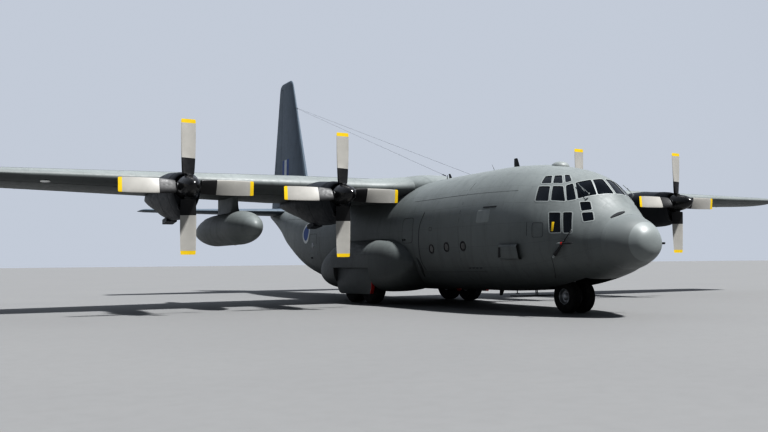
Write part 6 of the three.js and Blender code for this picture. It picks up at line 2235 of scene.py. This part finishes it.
def make_hold_fittings():
    """Rails and rollers on the cargo floor, and the frames of the hold's wall."""
    rails, rollers = [], []
    for x in (-1.1, -0.4, 0.4, 1.1):
        for rail in (x - 0.07, x + 0.07):
            rails.append(block((rail - 0.01, 6.6, HOLD_FLOOR), (rail + 0.01, 17.3, HOLD_FLOOR + 0.05)))
        for station in span_of(6.75, 17.15, 35):
            rollers.append(crossbar(x - 0.055, x + 0.055, station, HOLD_FLOOR + 0.034, 0.024, 12))
    settle("cargo_rails", rounded(joined(rails), 0.003), "steel")
    settle("cargo_rollers", smoothed(joined(rollers)), "wheel")
    frames = []
    for station in span_of(6.5, 17.2, 20):
        corners = ((0, 0.045), (0.05, 0.045), (0.05, 0.13), (0, 0.13), (0, 0.045))
        frames.append(lofted([hull_ring(station + along, inset) for along, inset in corners], caps=False))
    ribs = cut(
        joined(frames),
        block((1.55, 11.3, 0.5), (2.5, 14.75, 1.9)),
        block((-1.55, 11.3, 0.5), (-2.5, 14.75, 1.9)),
        block((-1.52, 6.0, 0.4), (1.52, 18.0, HOLD_FLOOR + 0.02)),
    )
    settle("hold_frames", smoothed(ribs), "cabin")


def paint_cad():
    """Finishes for the CAD solids that stay in sight."""
    finishes_by_node = {"cargo_floor": "deck", "flight_deck_floor": "deck", "instrument_panel": "cockpit"}
    for node, finish in finishes_by_node.items():
        for slot in bpy.data.objects[node].material_slots:
            slot.material = MADE[finish]


# Camera, floor and lights
CAMERA_PLACE = (-16.392, -16.32, 1.524)
CAMERA_TURNS = (-27.237, 93.243, -0.568)
LENS = 39.14
FLOOR_SIZE = 1200
KEY_TURNS = (30, 0, 31)
KEY_STRENGTH = 7.1
KEY_ANGLE = 4
SKY = ((0.15, (0.105, 0.12, 0.145, 1)), (0.85, (0.54, 0.58, 0.65, 1)))


def make_camera():
    """The photograph's camera, fitted to the wheels, propellers, wing and fin."""
    bpy.ops.object.camera_add(location=at(*CAMERA_PLACE))
    camera = bpy.context.object
    camera.name = "photo_camera"
    turns = zip(CAMERA_TURNS, "ZXZ")
    yaw, pitch, roll = (Matrix.Rotation(math.radians(angle), 3, axis) for angle, axis in turns)
    camera.rotation_euler = (yaw @ pitch @ roll).to_euler()
    camera.data.sensor_width = 36
    camera.data.lens = LENS
    camera.data.clip_start = 0.05
    camera.data.clip_end = 1500
    bpy.context.scene.camera = camera


def make_floor():
    bpy.ops.mesh.primitive_grid_add(x_subdivisions=4, y_subdivisions=4, size=FLOOR_SIZE)
    floor = fresh()
    floor.name = "studio_floor"
    finish = Finish("studio_floor_paint", 0.75)
    tone = finish.mix(finish.noise(0.35, 4.0), (0.185, 0.185, 0.185), (0.205, 0.205, 0.203))
    finish.set(Base_Color=finish.over(tone, finish.noise(7.0, 6.0), 0.4, 0.8, 0.3, (0.165, 0.165, 0.163)))
    floor.data.materials.append(finish.material)


def make_light():
    """A sky that is brighter behind the tail than behind the camera, and one sun."""
    world = bpy.data.worlds.new("studio")
    bpy.context.scene.world = world
    world.use_nodes = True
    nodes, links = world.node_tree.nodes, world.node_tree.links
    parts, share, ramp = (nodes.new(f"ShaderNode{kind}") for kind in ("SeparateXYZ", "MapRange", "ValToRGB"))
    share.inputs["From Min"].default_value = -1
    ramp.color_ramp.interpolation = "EASE"
    for element, (position, colour) in zip(ramp.color_ramp.elements, SKY):
        element.position = position
        element.color = colour
    links.new(nodes.new("ShaderNodeTexCoord").outputs["Generated"], parts.inputs["Vector"])
    links.new(parts.outputs["Y"], share.inputs["Value"])
    links.new(share.outputs["Result"], ramp.inputs["Fac"])
    links.new(ramp.outputs["Color"], nodes["Background"].inputs["Color"])
    nodes["Background"].inputs["Strength"].default_value = 1.0
    turns = [math.radians(angle) for angle in KEY_TURNS]
    bpy.ops.object.light_add(type="SUN", location=(0, 0, 20), rotation=turns)
    light = bpy.context.object
    light.name = "key_light"
    light.data.energy = KEY_STRENGTH
    light.data.angle = math.radians(KEY_ANGLE)


view = bpy.context.scene.view_settings
view.view_transform = "Standard"
view.look = "High Contrast"
view.exposure = -0.35
make_camera()
make_light()
make_floor()
finishes()
make_nose()
make_cockpit()
make_crew_door()
make_hold()
make_rear()
make_ramp()
make_rear_door()
make_wings()
make_wing_root()
make_fin()
make_tailplane()
make_engines()
make_tanks()
make_fairings()
make_main_gear()
make_main_doors()
make_nose_wheels()
make_nose_fork()
make_nose_leg()
make_nose_door()
make_side_details()
make_air_box()
make_intakes()
make_antennas()
make_nose_details()
make_markings()
make_lights()
make_wing_details()
make_seats()
make_flight_deck()
make_hold_fittings()
paint_cad()
